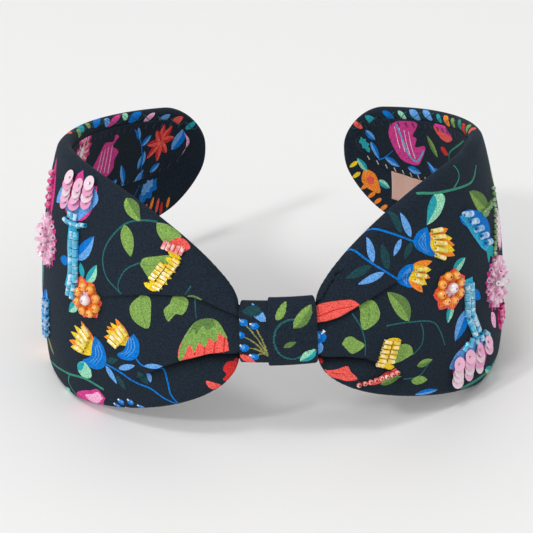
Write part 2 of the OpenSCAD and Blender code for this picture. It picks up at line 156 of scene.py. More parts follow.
class Band:
    """The band's surface as functions of s, the distance from the front centre, and z."""

    def __init__(self, p):
        for key in BandSizes.__annotations__:
            setattr(self, key, getattr(p, key))
        self.l1 = self.front_r * math.radians(self.front_sweep)
        self.a1 = math.radians(self.front_sweep)
        self.sweep = {LEFT: math.radians(self.left_sweep), RIGHT: math.radians(self.right_sweep)}
        self.start = {LEFT: 0.6 - self.wrap_left, RIGHT: 0.5 + self.wrap_right}
        self.length = {LEFT: self.left_len, RIGHT: self.right_len}
        self.wide_at = {LEFT: self.left_wide_at, RIGHT: self.right_wide_at}
        self.tip_lift = {LEFT: self.left_tip_lift, RIGHT: self.right_tip_lift}
        self.front_rise = {LEFT: self.left_lift, RIGHT: self.right_lift}

    def path(self, s, side):
        """Path of three arcs that meet without a corner: turned angle and middle point."""
        r1, r2, r3, a1 = self.front_r, self.side_r, self.back_r, self.a1
        a2, l2 = a1 + self.sweep[side], self.l1 + r2 * self.sweep[side]
        h = np.where(s < self.l1, s / r1, np.where(s < l2, a1 + (s - self.l1) / r2, a2 + (s - l2) / r3))
        c1 = np.array([r1 * math.sin(a1), r1 * (1 - math.cos(a1))])
        c2 = c1 + r2 * np.array([math.sin(a2) - math.sin(a1), math.cos(a1) - math.cos(a2)])

        def arc(c, r, a):
            return np.stack([c[0] + r * (np.sin(h) - math.sin(a)), c[1] + r * (math.cos(a) - np.cos(h))], -1)
        first, second = (s < self.l1)[..., None], (s < l2)[..., None]
        return h, np.where(first, arc((0, 0), r1, 0), np.where(second, arc(c1, r2, a1), arc(c2, r3, a2)))

    def lift(self, s, side):
        return self.front_rise[side] * np.sin(np.pi * np.clip((s - 16) / 66, 0, 1))

    def rise(self, s, side):
        """How far the tip is lifted."""
        return self.tip_lift[side] * np.clip((s - 110) / (self.length[side] - 110), 0, 1) ** 2

    def half(self, s, side):
        k, wide, end = self.start[side], self.wide_at[side], self.length[side]
        grow = np.sin(np.pi / 2 * np.clip((s - k) / (wide - k), 0, 1)) ** 0.54
        fall = np.clip((s - wide) / (end - wide), 0, 1) ** 1.25
        return np.where(s < wide, self.neck_half + (self.wide_half - self.neck_half) * grow,
                        self.wide_half - (self.wide_half - self.tip_half) * fall)

    def rounding(self, s, side, m=0.0):
        q = np.clip((s - self.length[side] + self.tip_round) / (self.tip_round - m), 0, 1)
        return np.sqrt(1 - q * q)

    def top(self, s, side, m=0.0):
        return self.rise(s, side) + (self.half(s, side) - m) * self.rounding(s, side, m)

    def bottom(self, s, side, m=0.0):
        rise = self.rise(s, side)
        low = np.minimum(self.half(s, side), self.stand_depth + self.lift(s, side) + rise)
        return rise - (low - m) * self.rounding(s, side, m)

    def seam(self, s, side):
        """Lower edge of the lining: near the edge at first, then rising to the middle."""
        low = self.bottom(s, side) + 5
        d = s - 175
        high = np.minimum(np.where(d < 0, 0.0043, 0.0124) * d * d - 0.5, self.top(s, side) - 10)
        return low + (high - low) * ease(s, 108, 150)

    def place(self, s, n, z, side, extra=0.0):
        """Point at distance s, layer height n (squeezed at the knot) and height z, leaning inwards."""
        h, c = self.path(s, side)
        thick = self.squeeze + (1 - self.squeeze) * ease(np.abs(s), 12, 30)
        o = n * thick + extra - self.lean * z / 38 - self.dome * z * z / 1444
        x = c[..., 0] + o * np.sin(h)
        y = c[..., 1] - o * np.cos(h) + self.front_y
        return np.stack([side * x, y, z + self.lift(s, side) + self.stand_depth], -1) * MM


# Creases that run out from the wrap: (s, z) points, ridge height, valley depth, width in shade
CREASES = {
    LEFT: [([(10.2, 6), (14.5, 7.8), (20, 9.8), (23.8, 10.5), (27.5, 10.2), (35.8, 8.8), (47, 5.5), (56,
                                                                                                     2.5)],
            0.7, 1.5, 0.8),
           ([(10.8, -6), (18.2, -6.8), (26.5, -10.5), (33.2, -14.5), (43, -22)], 0.6, 1.9, 3.0)],
    RIGHT: [([(12.2, 3.2), (19.2, 3.8), (26, 6.2), (32.5, 8.2), (38.8, 10), (46, 12)], 0.8, 1.6, 0.9),
            ([(12, 9), (14.5, 10.5), (17.5, 14.5), (20, 18)], 0.3, 0.5, 0.5),
            ([(12.2, -7.5), (21.2, -9.5), (27.2, -11.8), (31.5, -15.2), (40, -24)], 0.55, 1.6, 2.2)],
}


def beside_creases(s, z, side):
    """For each crease the height above it and how much of it is left at s."""
    for points, *_ in CREASES[side]:
        p = np.array(points, float)
        end = p[-1, 0] + 2
        yield z - np.interp(s, p[:, 0], p[:, 1]), np.clip((end - s) / (end - p[0, 0] - 8), 0, 1) ** 0.7


def fold_shade(s, z, side):
    """Deep shade caught under each fold: strongest at the crease, fading below it."""
    out = np.ones_like(s)
    for (*_, width), (d, fade) in zip(CREASES[side], beside_creases(s, z, side)):
        out *= 1 - 0.9 * fade * np.where(d > 0, np.exp(-(d / 0.25) ** 2), np.exp(-(d / width) ** 2))
    return out


def relief(s, z, side):
    """Folds with a rounded ridge that drops steeply into a valley, and shallow pleats that fade out."""
    out = np.zeros_like(s)
    for (_, ridge, valley, _), (d, fade) in zip(CREASES[side], beside_creases(s, z, side)):
        tall = np.where(d > 0, ridge * np.exp(-d / 3.2), valley * np.exp(d / 2.8))
        out += fade * np.tanh(d / 0.32) * tall
    pleat = np.sin(z * 1.05 + 0.12 * s + side) * 0.2 + np.sin(z * 0.52 - 0.2 * s) * 0.2
    out += pleat * np.exp(-((s - 10) / 11) ** 2)
    return out + 0.14 * np.sin(s * 0.11 + z * 0.07 + side) * np.sin(z * 0.13 - s * 0.045)


# ---------------------------------------------------------------- drawing the print

def smooth_line(points, each=6):
    """Curve through the points: Catmull-Rom with the given steps a span."""
    p = np.array(points, float)
    if len(p) < 3:
        return p[0] + np.linspace(0, 1, each + 1)[:, None] * (p[-1] - p[0])
    q = np.vstack([2 * p[0] - p[1], p, 2 * p[-1] - p[-2]])
    u = np.linspace(0, 1, each, endpoint=False)[:, None]
    spans = [0.5 * (2 * b + (c - a) * u + (2 * a - 5 * b + 4 * c - d) * u ** 2
                    + (3 * b - a - 3 * c + d) * u ** 3) for a, b, c, d in zip(q, q[1:], q[2:], q[3:])]
    return np.vstack(spans + [p[-1:]])


def across(line):
    """Unit vectors at right angles to a line."""
    t = np.gradient(line, axis=0)
    t /= np.linalg.norm(t, axis=1, keepdims=True) + 1e-9
    return np.stack([-t[:, 1], t[:, 0]], -1)


def stroke(points, width, colour, end=0.35, each=6):
    """A painted line that narrows to a share of its width at the end."""
    line = smooth_line(points, each)
    w = width / 2 * np.linspace(1, end, len(line))[:, None]
    side = across(line) * w
    return [(np.vstack([line + side, (line - side)[::-1]]), colour)]


def leaf(base, tip, width, light, dark=None, bend=0.0, fat=0.8, steps=10):
    """Two halves either side of a bent rib: half width is a sine to the power fat."""
    a, b = np.array(base, float), np.array(tip, float)
    u = np.linspace(0, 1, steps + 1)[:, None]
    d = b - a
    n = np.array([-d[1], d[0]]) / np.hypot(*d)
    rib = a + u * d + n * bend * np.sin(np.pi * u)
    w = n * width / 2 * np.sin(np.pi * np.clip(u, 0, 1) ** 0.85) ** fat
    upper = np.vstack([rib, (rib + w)[-2:0:-1]])
    lower = np.vstack([rib, (rib - w)[-2:0:-1]])
    return [(upper, light), (lower, dark or light)]


def blob(centre, rx, ry, colour, lobes=0, wave=0.0, turn=0.0, steps=28):
    """An ellipse whose radius waves a number of times round it."""
    a = np.linspace(0, 2 * np.pi, steps, endpoint=False)
    r = 1 + wave * np.cos(lobes * a)
    x, y = rx * r * np.cos(a), ry * r * np.sin(a)
    t = math.radians(turn)
    pts = np.stack([x * math.cos(t) - y * math.sin(t), x * math.sin(t) + y * math.cos(t)], -1)
    return [(pts + np.array(centre, float), colour)]


def outline(points, colour, each=4):
    """A closed shape through the points."""
    p = list(points) + [points[0]]
    return [(smooth_line(p, each)[:-1], colour)]


def polygon(points, colour):
    return [(np.array(points, float), colour)]


def moved(shapes, at, turn=0.0, scale=1.0):
    """The shapes turned, scaled and set down at a place on the cloth."""
    t = math.radians(turn)
    m = np.array([[math.cos(t), -math.sin(t)], [math.sin(t), math.cos(t)]]) * scale
    return [(p @ m.T + np.array(at, float), c) for p, c in shapes]


def crocus():
    """A blue cup with orange and yellow petals, mouth towards +x."""
    out = []
    for y, tip, c in ((-3.6, (7.5, -6), "orange"), (3.6, (7.5, 5.6), "orange"), (-2.4, (9, -3.4), "yellow"),
                      (2.4, (9.4, 3), "yellow"), (-1, (8.6, -1), "orange"), (0.8, (10, 0.6), "yellow")):
        out += leaf((-1.5, y), tip, 3.4, c, bend=0.2)
    out += outline([(0.4, 5.2), (-3.6, 4.4), (-6.6, 1), (-6.4, -2), (-3, -4.8), (0.8, -5), (0, -1.4), (0.6,
                                                                                                       2)],
                   "royal")
    for k in (1.2, 2.4, 3.6):
        out += stroke([(-1.4 + 0.3 * k, k), (-3.2 - 0.35 * k, 0.4), (-1.2 + 0.2 * k, -k)], 0.34, "sky")
    return out


def tulip_head():
    """A light-blue calyx opening towards +x with three magenta lobes behind it."""
    out = blob((8.5, 7.6), 6, 4.6, "magenta", 5, 0.08) + blob((10, 0), 6.4, 5, "magenta", 6, 0.08)
    out += blob((8.5, -7.4), 6, 4.6, "magenta", 5, 0.1)
    out += outline([(-6, 2.6), (-1, 4), (3, 8.2), (8.6, 12.6), (5.4, 6.2), (6.2, 2), (4.6, 0), (6.2, -3),
                    (5.2, -6.6), (8.8, -12.4), (2.6, -8), (-1, -3.8), (-6, -2.6)], "sky")
    out += stroke([(-4, 0), (0, 1.6), (4, 5.6)], 0.5, "cyan") + stroke([(-4, 0), (0, -1.6), (4, -5.4)], 0.5,
                                                                       "cyan")
    return out


def bead_flower():
    """Coral blot with seven orange petals round a pale middle."""
    out = blob((0, 0), 6.6, 6, "coral", 7, 0.1, 20)
    for i in range(7):
        a = 2 * math.pi * i / 7 + 0.3
        out += leaf((2 * math.cos(a), 2 * math.sin(a)), (6.4 * math.cos(a), 6.2 * math.sin(a)), 3.2, "orange")
    return out + blob((0.4, 0), 2.3, 2.1, "rose", 6, 0.12)


def daisy(radius=11.0, petals=16, inner="rose", outer="magenta"):
    """Ring of narrow petals, pale over dark, round a light middle."""
    out = []
    for i in range(petals):
        a = 2 * math.pi * i / petals
        c, s = math.cos(a), math.sin(a)
        out += leaf((radius * 0.2 * c, radius * 0.2 * s), (radius * 1.06 * c, radius * 1.06 * s),
                    radius * 0.36, outer, fat=0.6, steps=6)
    for i in range(petals):
        a = 2 * math.pi * (i + 0.5) / petals
        c, s = math.cos(a), math.sin(a)
        out += leaf((radius * 0.2 * c, radius * 0.2 * s), (radius * 0.92 * c, radius * 0.92 * s),
                    radius * 0.26, inner, "pink", fat=0.6, steps=6)
    return out + blob((0, 0), radius * 0.24, radius * 0.24, "white", 8, 0.1)


def bell():
    """A green bell with a yellow fringe at its mouth, mouth towards -x."""
    out = outline([(7.6, 0), (5.6, 3.4), (1, 5), (-5, 6.2), (-3.4, 2), (-2, -2), (0.6, -6.4), (5, -4.4)],
                  "leaf")
    for i in range(7):
        y = 6.4 - 2.05 * i
        x = -5.6 + 0.95 * i
        out += leaf((x + 1.6, y - 0.4), (x - 1.9, y + 0.3), 1.6, "yellow", fat=0.5, steps=5)
    return out


def berry(at, r=1.9, tip=(0.0, 1.0)):
    x, y = at
    dx, dy = tip
    return (blob(at, r, r * 0.9, "royal") + blob((x - 0.3 * r, y + 0.2 * r), r * 0.45, r * 0.4, "sky")
            + polygon([(x + dx * r * 1.3 - dy * 0.5, y + dy * r * 1.3 + dx * 0.5),
                       (x + dx * r * 0.5 - dy * 0.2, y + dy * r * 0.5), (x + dx * r * 1.3 + dy * 0.5,
                                                                       y + dy * r * 1.3 - dx * 0.5)],
                      "white"))


def oak(at, turn=0.0, scale=1.0, colour="leaf"):
    """A small leaf with five rounded lobes."""
    pts = [(-4, 0), (-2.6, 1.6), (-1.6, 1.2), (-0.6, 2.8), (0.8, 1.6), (2, 2.3), (2.6, 0.9), (4, 0.2),
           (2.8, -1), (1.8, -2.4), (0.6, -1.5), (-0.8, -2.6), (-1.8, -1.2), (-3, -1.4)]
    return moved(outline(pts, colour, 3) + stroke([(-3.4, 0), (0, 0.2), (3, 0.1)], 0.25, "leaf_dark"),
                 at, turn, scale)


def stem_print(points, width=5.6):
    return stroke(points, width, "cyan", 0.9)


def print_left():
    """What is printed on the left arm's outer face, back to front, in (s, z) millimetres."""
    out = []
    # vines, bell and leaves above the upper crease
    out += stroke([(37.2, 30.8), (42.2, 30.2), (48.2, 27.8), (53.8, 21.5), (55.8, 15.5), (53.8, 9.8), (47.5,
                                                                                                       6)],
                  0.6, "vine", 0.8)
    out += stroke([(41.5, 17.5), (46.5, 14), (49, 9), (48.2, 6.2)], 0.5, "vine", 0.6)
    out += leaf((49.8, 35.4), (42.6, 29.8), 4.4, "leaf", "leaf_dark") + leaf((48.4, 27.6), (45, 18.4), 4.8,
                                                                             "leaf")
    out += outline([(37.2, 30.5), (36.2, 27.5), (33, 25.2), (29, 27.8), (31, 30.4), (34.5, 31)], "leaf")
    out += outline([(33, 25), (30.8, 23.2), (28.8, 23.2), (25.5, 25.2), (28, 27.8), (30.6, 27)], "coral")
    out += outline([(41.5, 16.8), (40.5, 19), (36.5, 20.5), (31.2, 21.8), (32.5, 17.8), (34.6, 14.6), (37.5,
                                                                                                       13)],
                   "leaf")
    out += stroke([(41, 17), (37, 17.6), (33, 19.6)], 0.3, "leaf_dark")
    for x, z in ((27.8, 21.5), (28.4, 19.4), (29.4, 17.2), (30.6, 15), (31.8, 13), (33.4, 11.2), (35.2,
                                                                                                  10.2)):
        out += leaf((x + 4.6, z + 1.4), (x, z), 1.9, "yellow", fat=0.5, steps=5)
    out += stroke([(24.5, 14), (26.2, 11)], 0.4, "vine") + stroke([(23.5, 9.8), (22.8, 4)], 0.45, "vine")
    out += outline([(32.2, 1.8), (33, 4.4), (31.2, 6.8), (30.4, 9), (27.5, 9.8), (25.5, 8.8), (25.8, 6.2),
                    (27.2, 4.2), (29.2, 4), (31.2, 1.2)], "leaf")
    out += stroke([(31.6, 2), (29, 6), (27, 9)], 0.3, "leaf_dark")
    out += leaf((25.5, 10.8), (20.8, 10.5), 1.5, "leaf", "leaf_dark")
    out += outline([(41, 7.2), (44.5, 2.8), (43.2, -1.5), (38, -2.8), (37.2, 3.8), (38, 7)], "leaf")
    out += stroke([(38.4, -2.2), (40.4, 2), (40.8, 6.4)], 0.3, "leaf_dark")
    # domed flower beside the wrap: coral under light scallops under a dark crown
    out += outline([(13, -5), (13.6, -1.6), (15.8, 0.4), (21, 0), (27, -4), (27.8, -10.8), (20, -7.2)],
                   "coral")
    for i in range(5):
        out += stroke([(14.2 + 2.7 * i, -0.6), (14.6 + 2.9 * i, -5.8 - 0.75 * i)], 0.55, "red", 0.8)
    out += outline([(28.2, -10.5), (27.8, -6.8), (26.2, -2.2), (22.8, 3), (18.5, 4.5), (15.8, 3.2), (13.5,
                                                                                                     -1),
                    (14.5, -0.8), (16, 0.2), (17, -2.8), (19, -1.8), (20, -4.8), (22.2, -4), (23.2, -7.2),
                    (24.8, -5), (26.2, -8.5), (27.5, -10.8)], "leaf")
    out += outline([(25.5, -2.2), (23.5, 0.2), (22.8, -1), (20.8, 1.8), (19.5, 0.8), (17.2, 2.8), (18.5, 4.5),
                    (22.8, 3)], "leaf_dark")
    out += moved(blob((0, 0), 3.2, 3.2, "red", 6, 0.35, 10) + blob((0, 0), 1, 1, "yellow"), (9.9, -12))
    out += outline([(11.8, -9), (13.8, -9.4), (15, -11.8), (14, -13.4), (15, -15.5), (12, -16.4), (9, -14.8)],
                   "red")
    out += outline([(16, -17), (20, -16.4), (19, -19), (15.6, -20.4)], "coral")
    # two crocuses on blue stems
    out += stroke([(55, -19.8), (48.5, -21), (43, -23), (37.8, -23.5), (33.8, -25.5), (29.5, -27)], 0.65,
                  "royal", 0.8)
    out += stroke([(42.5, -14.2), (40, -16), (33.8, -15.5), (32, -19.5), (31.2, -23.5), (29.2, -26.5)], 0.6,
                  "royal", 0.8)
    for a, b, w, c in (((49, -20), (42.8, -16.8), 2, "sky"), ((54.2, -20.5), (50, -25.8), 2.2, "sky"),
                       ((38.5, -18.2), (37.8, -21.4), 1.7, "sky"), ((39.5, -16), (33.2, -14.2), 1.6, "sky"),
                       ((54, -19), (49, -16.8), 2, "teal_dark"), ((50, -22.5), (46.8, -27), 2.2, "teal_dark"),
                       ((41.8, -18.8), (38.6, -22.4), 3, "teal_dark")):
        out += leaf(a, b, w, c)
    for tip, c in (((49.8, -2.8), "orange"), ((51.8, -4.8), "yellow"), ((53.2, -6.5), "orange"),
                   ((54.5, -10.5), "orange"), ((53.5, -8), "yellow"), ((53.5, -9.8), "yellow")):
        out += leaf((44.6, -10), tip, 3, c, bend=0.2)
    out += outline([(43, -6), (41.2, -8.5), (41.5, -12.8), (44.2, -15.5), (48.2, -16), (49.2, -14.8),
                    (46.6, -12.6), (45.4, -9)], "royal")
    for tip, c in (((64.6, -8.4), "orange"), ((68.2, -11), "yellow"), ((71.4, -17.6), "orange"),
                   ((70.2, -14), "yellow"), ((70.6, -19.6), "yellow")):
        out += leaf((57.6, -17.2), tip, 3.6, c, bend=0.2)
    out += outline([(58.6, -11.6), (55.4, -13.4), (53.8, -17.4), (55, -21.4), (59.4, -23.6), (64.6, -22.4),
                    (60.8, -19.6), (59.8, -15.4)], "royal")
    for k in (0, 1.4, 2.8):
        out += stroke([(43.4 + 0.5 * k, -7.4 - 0.3 * k), (42.8 + k, -11 - 0.6 * k), (45.4 + k, -14.6)], 0.32,
                      "sky")
        out += stroke([(57 + 0.5 * k, -13.4 - 0.6 * k), (55.6 + k, -17.4 - 0.5 * k), (58.6 + k, -22)], 0.34,
                      "sky")
    out += outline([(60.8, -24.4), (63.6, -22.6), (67, -24.2), (67.4, -27), (64.6, -28.6), (61, -27.2)],
                   "mint")
    out += outline([(63.6, -22.6), (67, -24.2), (67.4, -27), (65, -25.8)], "teal")
    # berries, vines, pink flower and leaves along the lower edge
    for x, z in ((51.2, -34.5), (49.2, -32.2), (45.5, -31), (42, -32), (47.2, -35)):
        out += berry((x, z), 1.2, (0.7, 0.5))
    out += stroke([(55.8, -29.8), (64, -28.8), (72.8, -30.5), (80, -31.6), (88.2, -33.8), (98, -38), (108,
                                                                                                      -44)],
                  0.85, "vine_green", 0.8)
    out += stroke([(72.8, -30.5), (74, -34.4), (69.2, -38.2)], 0.6, "vine_green", 0.6)
    out += outline([(55.6, -33), (58.6, -30.8), (62, -32.4), (66, -34), (70, -37), (66, -41), (60, -40)],
                   "magenta")
    out += outline([(56.6, -33.4), (58.6, -31.8), (61.4, -33.6), (65, -35.4), (61, -37.6)], "pink")
    out += leaf((74, -37), (80.4, -41), 2.8, "mint", "teal") + leaf((92.4, -25.6), (84.6, -28.8), 2.4,
                                                                    "olive")
    out += moved(daisy(7, 10, "coral", "yellow"), (106, -37))
    # bead flower, stem, calyx
    out += leaf((62.5, 5.5), (58.2, 12.4), 3.6, "mint", "teal", 0.6) + leaf((64, 6.6), (66, 11), 2.6, "teal")
    out += leaf((66, -2.4), (71, -7.2), 3.6, "teal", "mint") + moved(bead_flower(), (62.6, 0.2), 0, 1.04)
    out += leaf((69, 11.4), (60.4, 21), 5, "sky", "royal", 0.8) + leaf((72.6, 9.2), (78, 8.6), 3.2, "royal")
    out += stem_print([(72, 23), (71.8, 15), (70.6, 9.4), (70.4, 5), (71.6, 0.4)], 5)
    for tip in ((62, 36.2), (72.4, 39), (82.6, 35.6)):
        out += leaf((72, 24), tip, 9, "magenta", fat=0.7)
    out += outline([(71.5, 22), (76, 24), (80, 26.4), (86.4, 24.6), (84.6, 30), (79.4, 33), (77, 29.4), (73,
                                                                                                         28.6),
                    (70, 31.4), (67, 36), (64.4, 36.4), (60.4, 32.4), (64.6, 27.4)], "sky")
    out += stroke([(72, 24), (69, 27.6), (65, 31.4)], 0.5, "cyan") + stroke([(73, 24.6), (79, 28), (83, 27)],
                                                                            0.5,
                                                                           "cyan")
    # side: magenta petal, large pink flower, teal and blue leaves
    out += leaf((90, 19), (98, 35), 6, "magenta", "magenta", 0.6) + leaf((98, 4), (96, -10.4), 3.4, "teal")
    out += moved(daisy(9.2, 18), (91, 10))
    out += leaf((89, -7), (96.4, -26), 8, "royal", "sky") + leaf((98, -12), (106, -28), 5, "royal", "sky")
    out += leaf((101, -4), (108, -18), 4, "teal", "mint")
    return out


def print_right():
    """What is printed on the right arm's outer face, back to front."""
    out = []
    # blue stems with leaves and two crocuses above the crease
    out += stroke([(30.2, 29.2), (37.8, 25.2), (45.5, 20.5)], 0.6, "royal", 0.9)
    out += stroke([(24, 25), (29.8, 18.8), (34.5, 14.5), (38.8, 10.5)], 0.6, "royal", 0.9)
    for a, b, w, c in (((31.2, 18), (30.2, 26), 2.4, "sky"), ((34.5, 14), (25.8, 12.8), 2.4, "sky"),
                       ((44.8, 22), (42.2, 30.2), 2.4, "sky"), ((41.2, 22.5), (38, 18), 2, "sky"),
                       ((41.5, 24.2), (39.2, 32), 2.4, "teal_dark"), ((35.8, 14.5), (34.5, 23), 2.8,
                                                                      "teal_dark"),
                       ((30.5, 17.2), (22.2, 15.5), 2.8, "teal_dark"), ((45, 20.5), (41.5, 16), 2.4,
                                                                        "teal_dark")):
        out += leaf(a, b, w, c)
    for tip, c in (((59.8, 20.6), "orange"), ((61.2, 17.2), "yellow"), ((61.6, 11.4), "orange"),
                   ((62, 14.8), "orange"), ((61.8, 13), "yellow")):
        out += leaf((49, 18.8), tip, 4, c, bend=0.2)
    out += outline([(51.2, 23.4), (47.8, 23), (45.5, 20.8), (46, 18.4), (48, 16.4), (51.2, 14.2), (53.6,
                                                                                                   13.8),
                    (51.8, 17), (52.2, 20)], "royal")
    for tip, c in (((51.8, 12.4), "orange"), ((51.2, 9.8), "yellow"), ((47.2, 3.6), "orange"),
                   ((50.5, 7.4), "orange"), ((49, 5.6), "yellow")):
        out += leaf((41.6, 11.8), tip, 3.2, c, bend=0.2)
    out += outline([(44.8, 13.6), (42, 14), (39.2, 12.5), (38.6, 10), (40.4, 8), (43.4, 6.4), (42.6, 9),
                    (44.2, 11.2)], "royal")
    for k in (0, 1.2, 2.4):
        out += stroke([(50.2, 22 - 0.4 * k), (47.4 + k, 19.6 - 0.5 * k), (50 + 0.4 * k, 15.6)], 0.32, "sky")
        out += stroke([(43.4, 12.8 - 0.3 * k), (40.4 + 0.7 * k, 11 - 0.5 * k), (41.8, 7.8)], 0.28, "sky")
    out += outline([(51.2, 24), (52.8, 29.2), (56, 32), (59.2, 32), (60.8, 29.8), (57.8, 26.2), (54, 24.4)],
                   "mint")
    out += outline([(51.2, 24), (52.8, 29.2), (56, 32), (56.6, 29)], "teal")
    out += stroke([(50, 34), (56.8, 32.5), (63.2, 31.8), (73.2, 31.2), (78.8, 31.8), (84, 35)], 0.8,
                  "vine_green", 0.8)
    out += stroke([(66, 31.8), (70.4, 34.6), (70, 38.4)], 0.5, "vine_green", 0.8)
    out += leaf((87.4, 18), (74.4, 29), 7, "leaf", "leaf_dark")
    # blue trumpet flower with teal foot
    out += outline([(66.2, 22.8), (70, 24), (75, 22.8), (79.4, 21), (83.6, 17), (84.6, 12.6), (82, 8.6),
                    (76.8, 9.4),
                    (73, 14), (69.6, 18.4), (67, 20.6)], "royal")
    out += outline([(66.6, 22.8), (71, 22), (75, 17.6), (79, 12.4), (84.6, 9), (83, 6.6), (78, 8.6), (72.8,
                                                                                                      14)],
                   "cyan")
    out += outline([(79.6, 7.8), (83.4, 8.6), (86.4, 6), (85, 3.4), (82.5, 5.2), (80.6, 3.4)], "teal")
    # bead flower, stem, calyx
    out += leaf((60, 6), (66.4, 9.4), 3.4, "teal", "mint", 0.4) + leaf((58.6, -3.4), (56.4, -9.6), 3, "mint",
                                                                       "teal")
    out += moved(bead_flower(), (58.4, 1), 0, 1.02) + leaf((68.6, -2.6), (73, -6.6), 3.4, "royal")
    out += leaf((65.4, -7.6), (59.6, -17), 5.6, "royal", "sky")
    out += stem_print([(66.8, 2.2), (66.8, -7), (67.8, -12), (71, -18.6)], 4.8)
    for tip in ((58.8, -28.4), (67, -33.4), (77.6, -31)):
        out += leaf((69.6, -20.4), tip, 8.4, "magenta", fat=0.7)
    out += outline([(70, -18.6), (65, -20.4), (60.4, -21.6), (57.4, -25.8), (61, -27.4), (63.4, -24.8), (67,
                                                                                                         -25.4),
                    (69.8, -29.6), (72.4, -25), (75.6, -24.6), (78.4, -28), (80.8, -22.4), (75, -20)], "sky")
    # creased front: coral petal, berry, leaves, vines
    out += outline([(12, 8), (15.8, 9.5), (22, 9), (24.2, 8.2), (25.8, 6), (21.8, 4.8), (17, 3.8), (12.2,
                                                                                                    3.2)],
                   "coral")
    out += stroke([(13, 5.4), (18, 6.6), (24, 6.6)], 0.5, "red", 0.6)
    out += berry((13.6, -1.5), 2.1, (0.6, 0.7)) + leaf((14, -3.2), (13, -7.2), 2.2, "sky")
    out += outline([(26, 6.2), (28.2, 6.5), (30.8, 5.8), (32.2, 1.8), (31, -0.8), (27, -2.2), (26, 0.8),
                    (26.2, 3.5)], "leaf")
    out += stroke([(27.6, -1.6), (28.8, 2), (28.8, 5.4)], 0.3, "leaf_dark")
    out += leaf((41.8, -4), (35.2, 7.4), 5, "leaf", "leaf_dark", -0.8)
    out += outline([(20.2, -5), (21.4, -3.2), (23.2, -3.2), (24.6, -4.6), (27, -7), (25.4, -8.4), (23, -8.8),
                    (21.6, -7)], "leaf")
    out += stroke([(23.8, 3.8), (26, -0.8), (27.2, -6.2), (27, -10.5)], 0.4, "vine", 0.8)
    out += stroke([(34, -3), (41, -4.2), (50, -7), (53.2, -11.2), (55.2, -16.8)], 0.5, "vine", 0.8)
    out += stroke([(46, -6.2), (46.8, -9.5), (46.2, -13.5), (43.2, -16)], 0.5, "vine", 0.7)
    out += outline([(43.2, -15.8), (42.4, -13), (40.2, -11.2), (37.8, -11.2), (35.5, -12.5), (34.5, -15.8),
                    (38.2, -16.8)], "leaf")
    for x, z in ((33.8, -7.8), (33.2, -9.6), (32.4, -11.2), (31.6, -12.8), (30.8, -14.4), (31.4, -16)):
        out += leaf((x + 5.2, z - 2), (x, z), 1.8, "yellow", fat=0.5, steps=5)
    out += outline([(15, -12.8), (18.5, -13.2), (21.8, -13), (22.8, -15.2), (24.8, -18.2), (22, -18.2),
                    (19.2, -16.8), (16.4, -15.4)], "coral")
    out += blob((13.6, -10), 1.2, 1, "red") + stroke([(17, -14), (21.4, -15.6)], 0.4, "red")
    out += outline([(24.2, -18.8), (28, -20.6), (33, -19.4), (37, -18.6), (36.4, -21), (30, -22)], "coral")
    out += leaf((32, -22.5), (39, -22.2), 2.6, "leaf", "leaf_dark")
    out += leaf((44.5, -20.5), (50.4, -20.4), 2.6, "leaf", "leaf_dark")
    out += stroke([(39.8, -23.5), (45.2, -24.5), (49.2, -21)], 0.5, "vine", 0.7)
    out += leaf((42.5, -25), (48.6, -27), 3, "leaf") + leaf((44.2, -30.8), (53, -32.2), 2.2, "royal", "sky")
    out += stroke([(64, -36), (75.8, -36), (91, -36)], 1.4, "vine_green", 0.7)
    out += leaf((78, -34), (86, -38), 2.8, "teal", "mint")
    # side: pink flowers under a green bow of small beads
    out += stroke([(80, 20.4), (90, 19.8), (95, 17), (93, 9), (86, 3)], 2, "leaf_dark", 0.8)
    out += moved(daisy(7, 12, "white", "pink"), (98, 7.4)) + moved(daisy(9.2, 18), (86, -5.6))
    out += leaf((87.6, -16), (97.6, -29), 6.4, "magenta", "magenta") + leaf((80.6, -14), (85.4, -22), 3.4,
                                                                            "pink")
    return out


def print_back(side):
    """The outer face from the side to the tip, where the same flowers come again."""
    flip = 1 if side == LEFT else -1
    out = stroke([(102, 32), (122, 26 * flip), (134, 22), (146, 24), (156, 20)], 0.7, "vine_green", 0.6)
    out += stroke([(114, -34), (132, -26), (144, -22), (158, -20), (168, -14)], 0.7, "vine", 0.6)
    out += moved(daisy(8.6, 14), (131, 10 * flip)) + moved(bead_flower(), (152, -6 * flip), 40)
    out += moved(crocus(), (141, 22), 30, 0.85) + moved(crocus(), (122, -22), -150, 0.85)
    out += stem_print([(153, 3 * flip), (160, 5 * flip), (166, 7 * flip)], 3.6)
    out += moved(tulip_head(), (169, 8 * flip), 20, 0.66)
    out += moved(bell(), (116, 17 * flip), 60, 0.9) + moved(bell(), (142, -16), 150, 0.8)
    for i, (x, z) in enumerate(((124, 30), (137, -4), (147, 9), (163, -12), (176, -8), (113, -12), (180, 9),
                                (158, 15), (128, -12), (186, 0), (110, 26), (104, -25))):
        out += oak((x, z * (flip if i % 2 else 1)), 37 * i, 0.8 + 0.05 * (i % 4), "leaf" if i % 3 else "teal")
    for i, (x, z) in enumerate(((115, 3), (126, -31), (150, 18), (171, -4), (138, 30), (190, -5), (176, 2),
                                (107, 12))):
        out += moved(leaf((-3, 0), (3, 0.6), 2.6, ("sky", "mint", "teal")[i % 3], ("royal", "teal")[i % 2]),
                     (x, z * flip), 50 * i)
    for i in range(4):
        out += berry((160 + 3.4 * i, -2 - 3.2 * i + (i % 2) * 2), 1.4, (0.7, -0.6))
    return out


def blue_sprig():
    """A wide lobed leaf and its stalk at the left tip, running over the edge of the lining."""
    return (stroke([(163, -12), (167, -9), (171, -4)], 0.5, "royal") + oak((175, -7.5), 40, 1.35, "royal")
            + oak((174.6, -6), 40, 0.9, "sky") + leaf((166, -14), (163, -6), 3, "sky", "royal"))


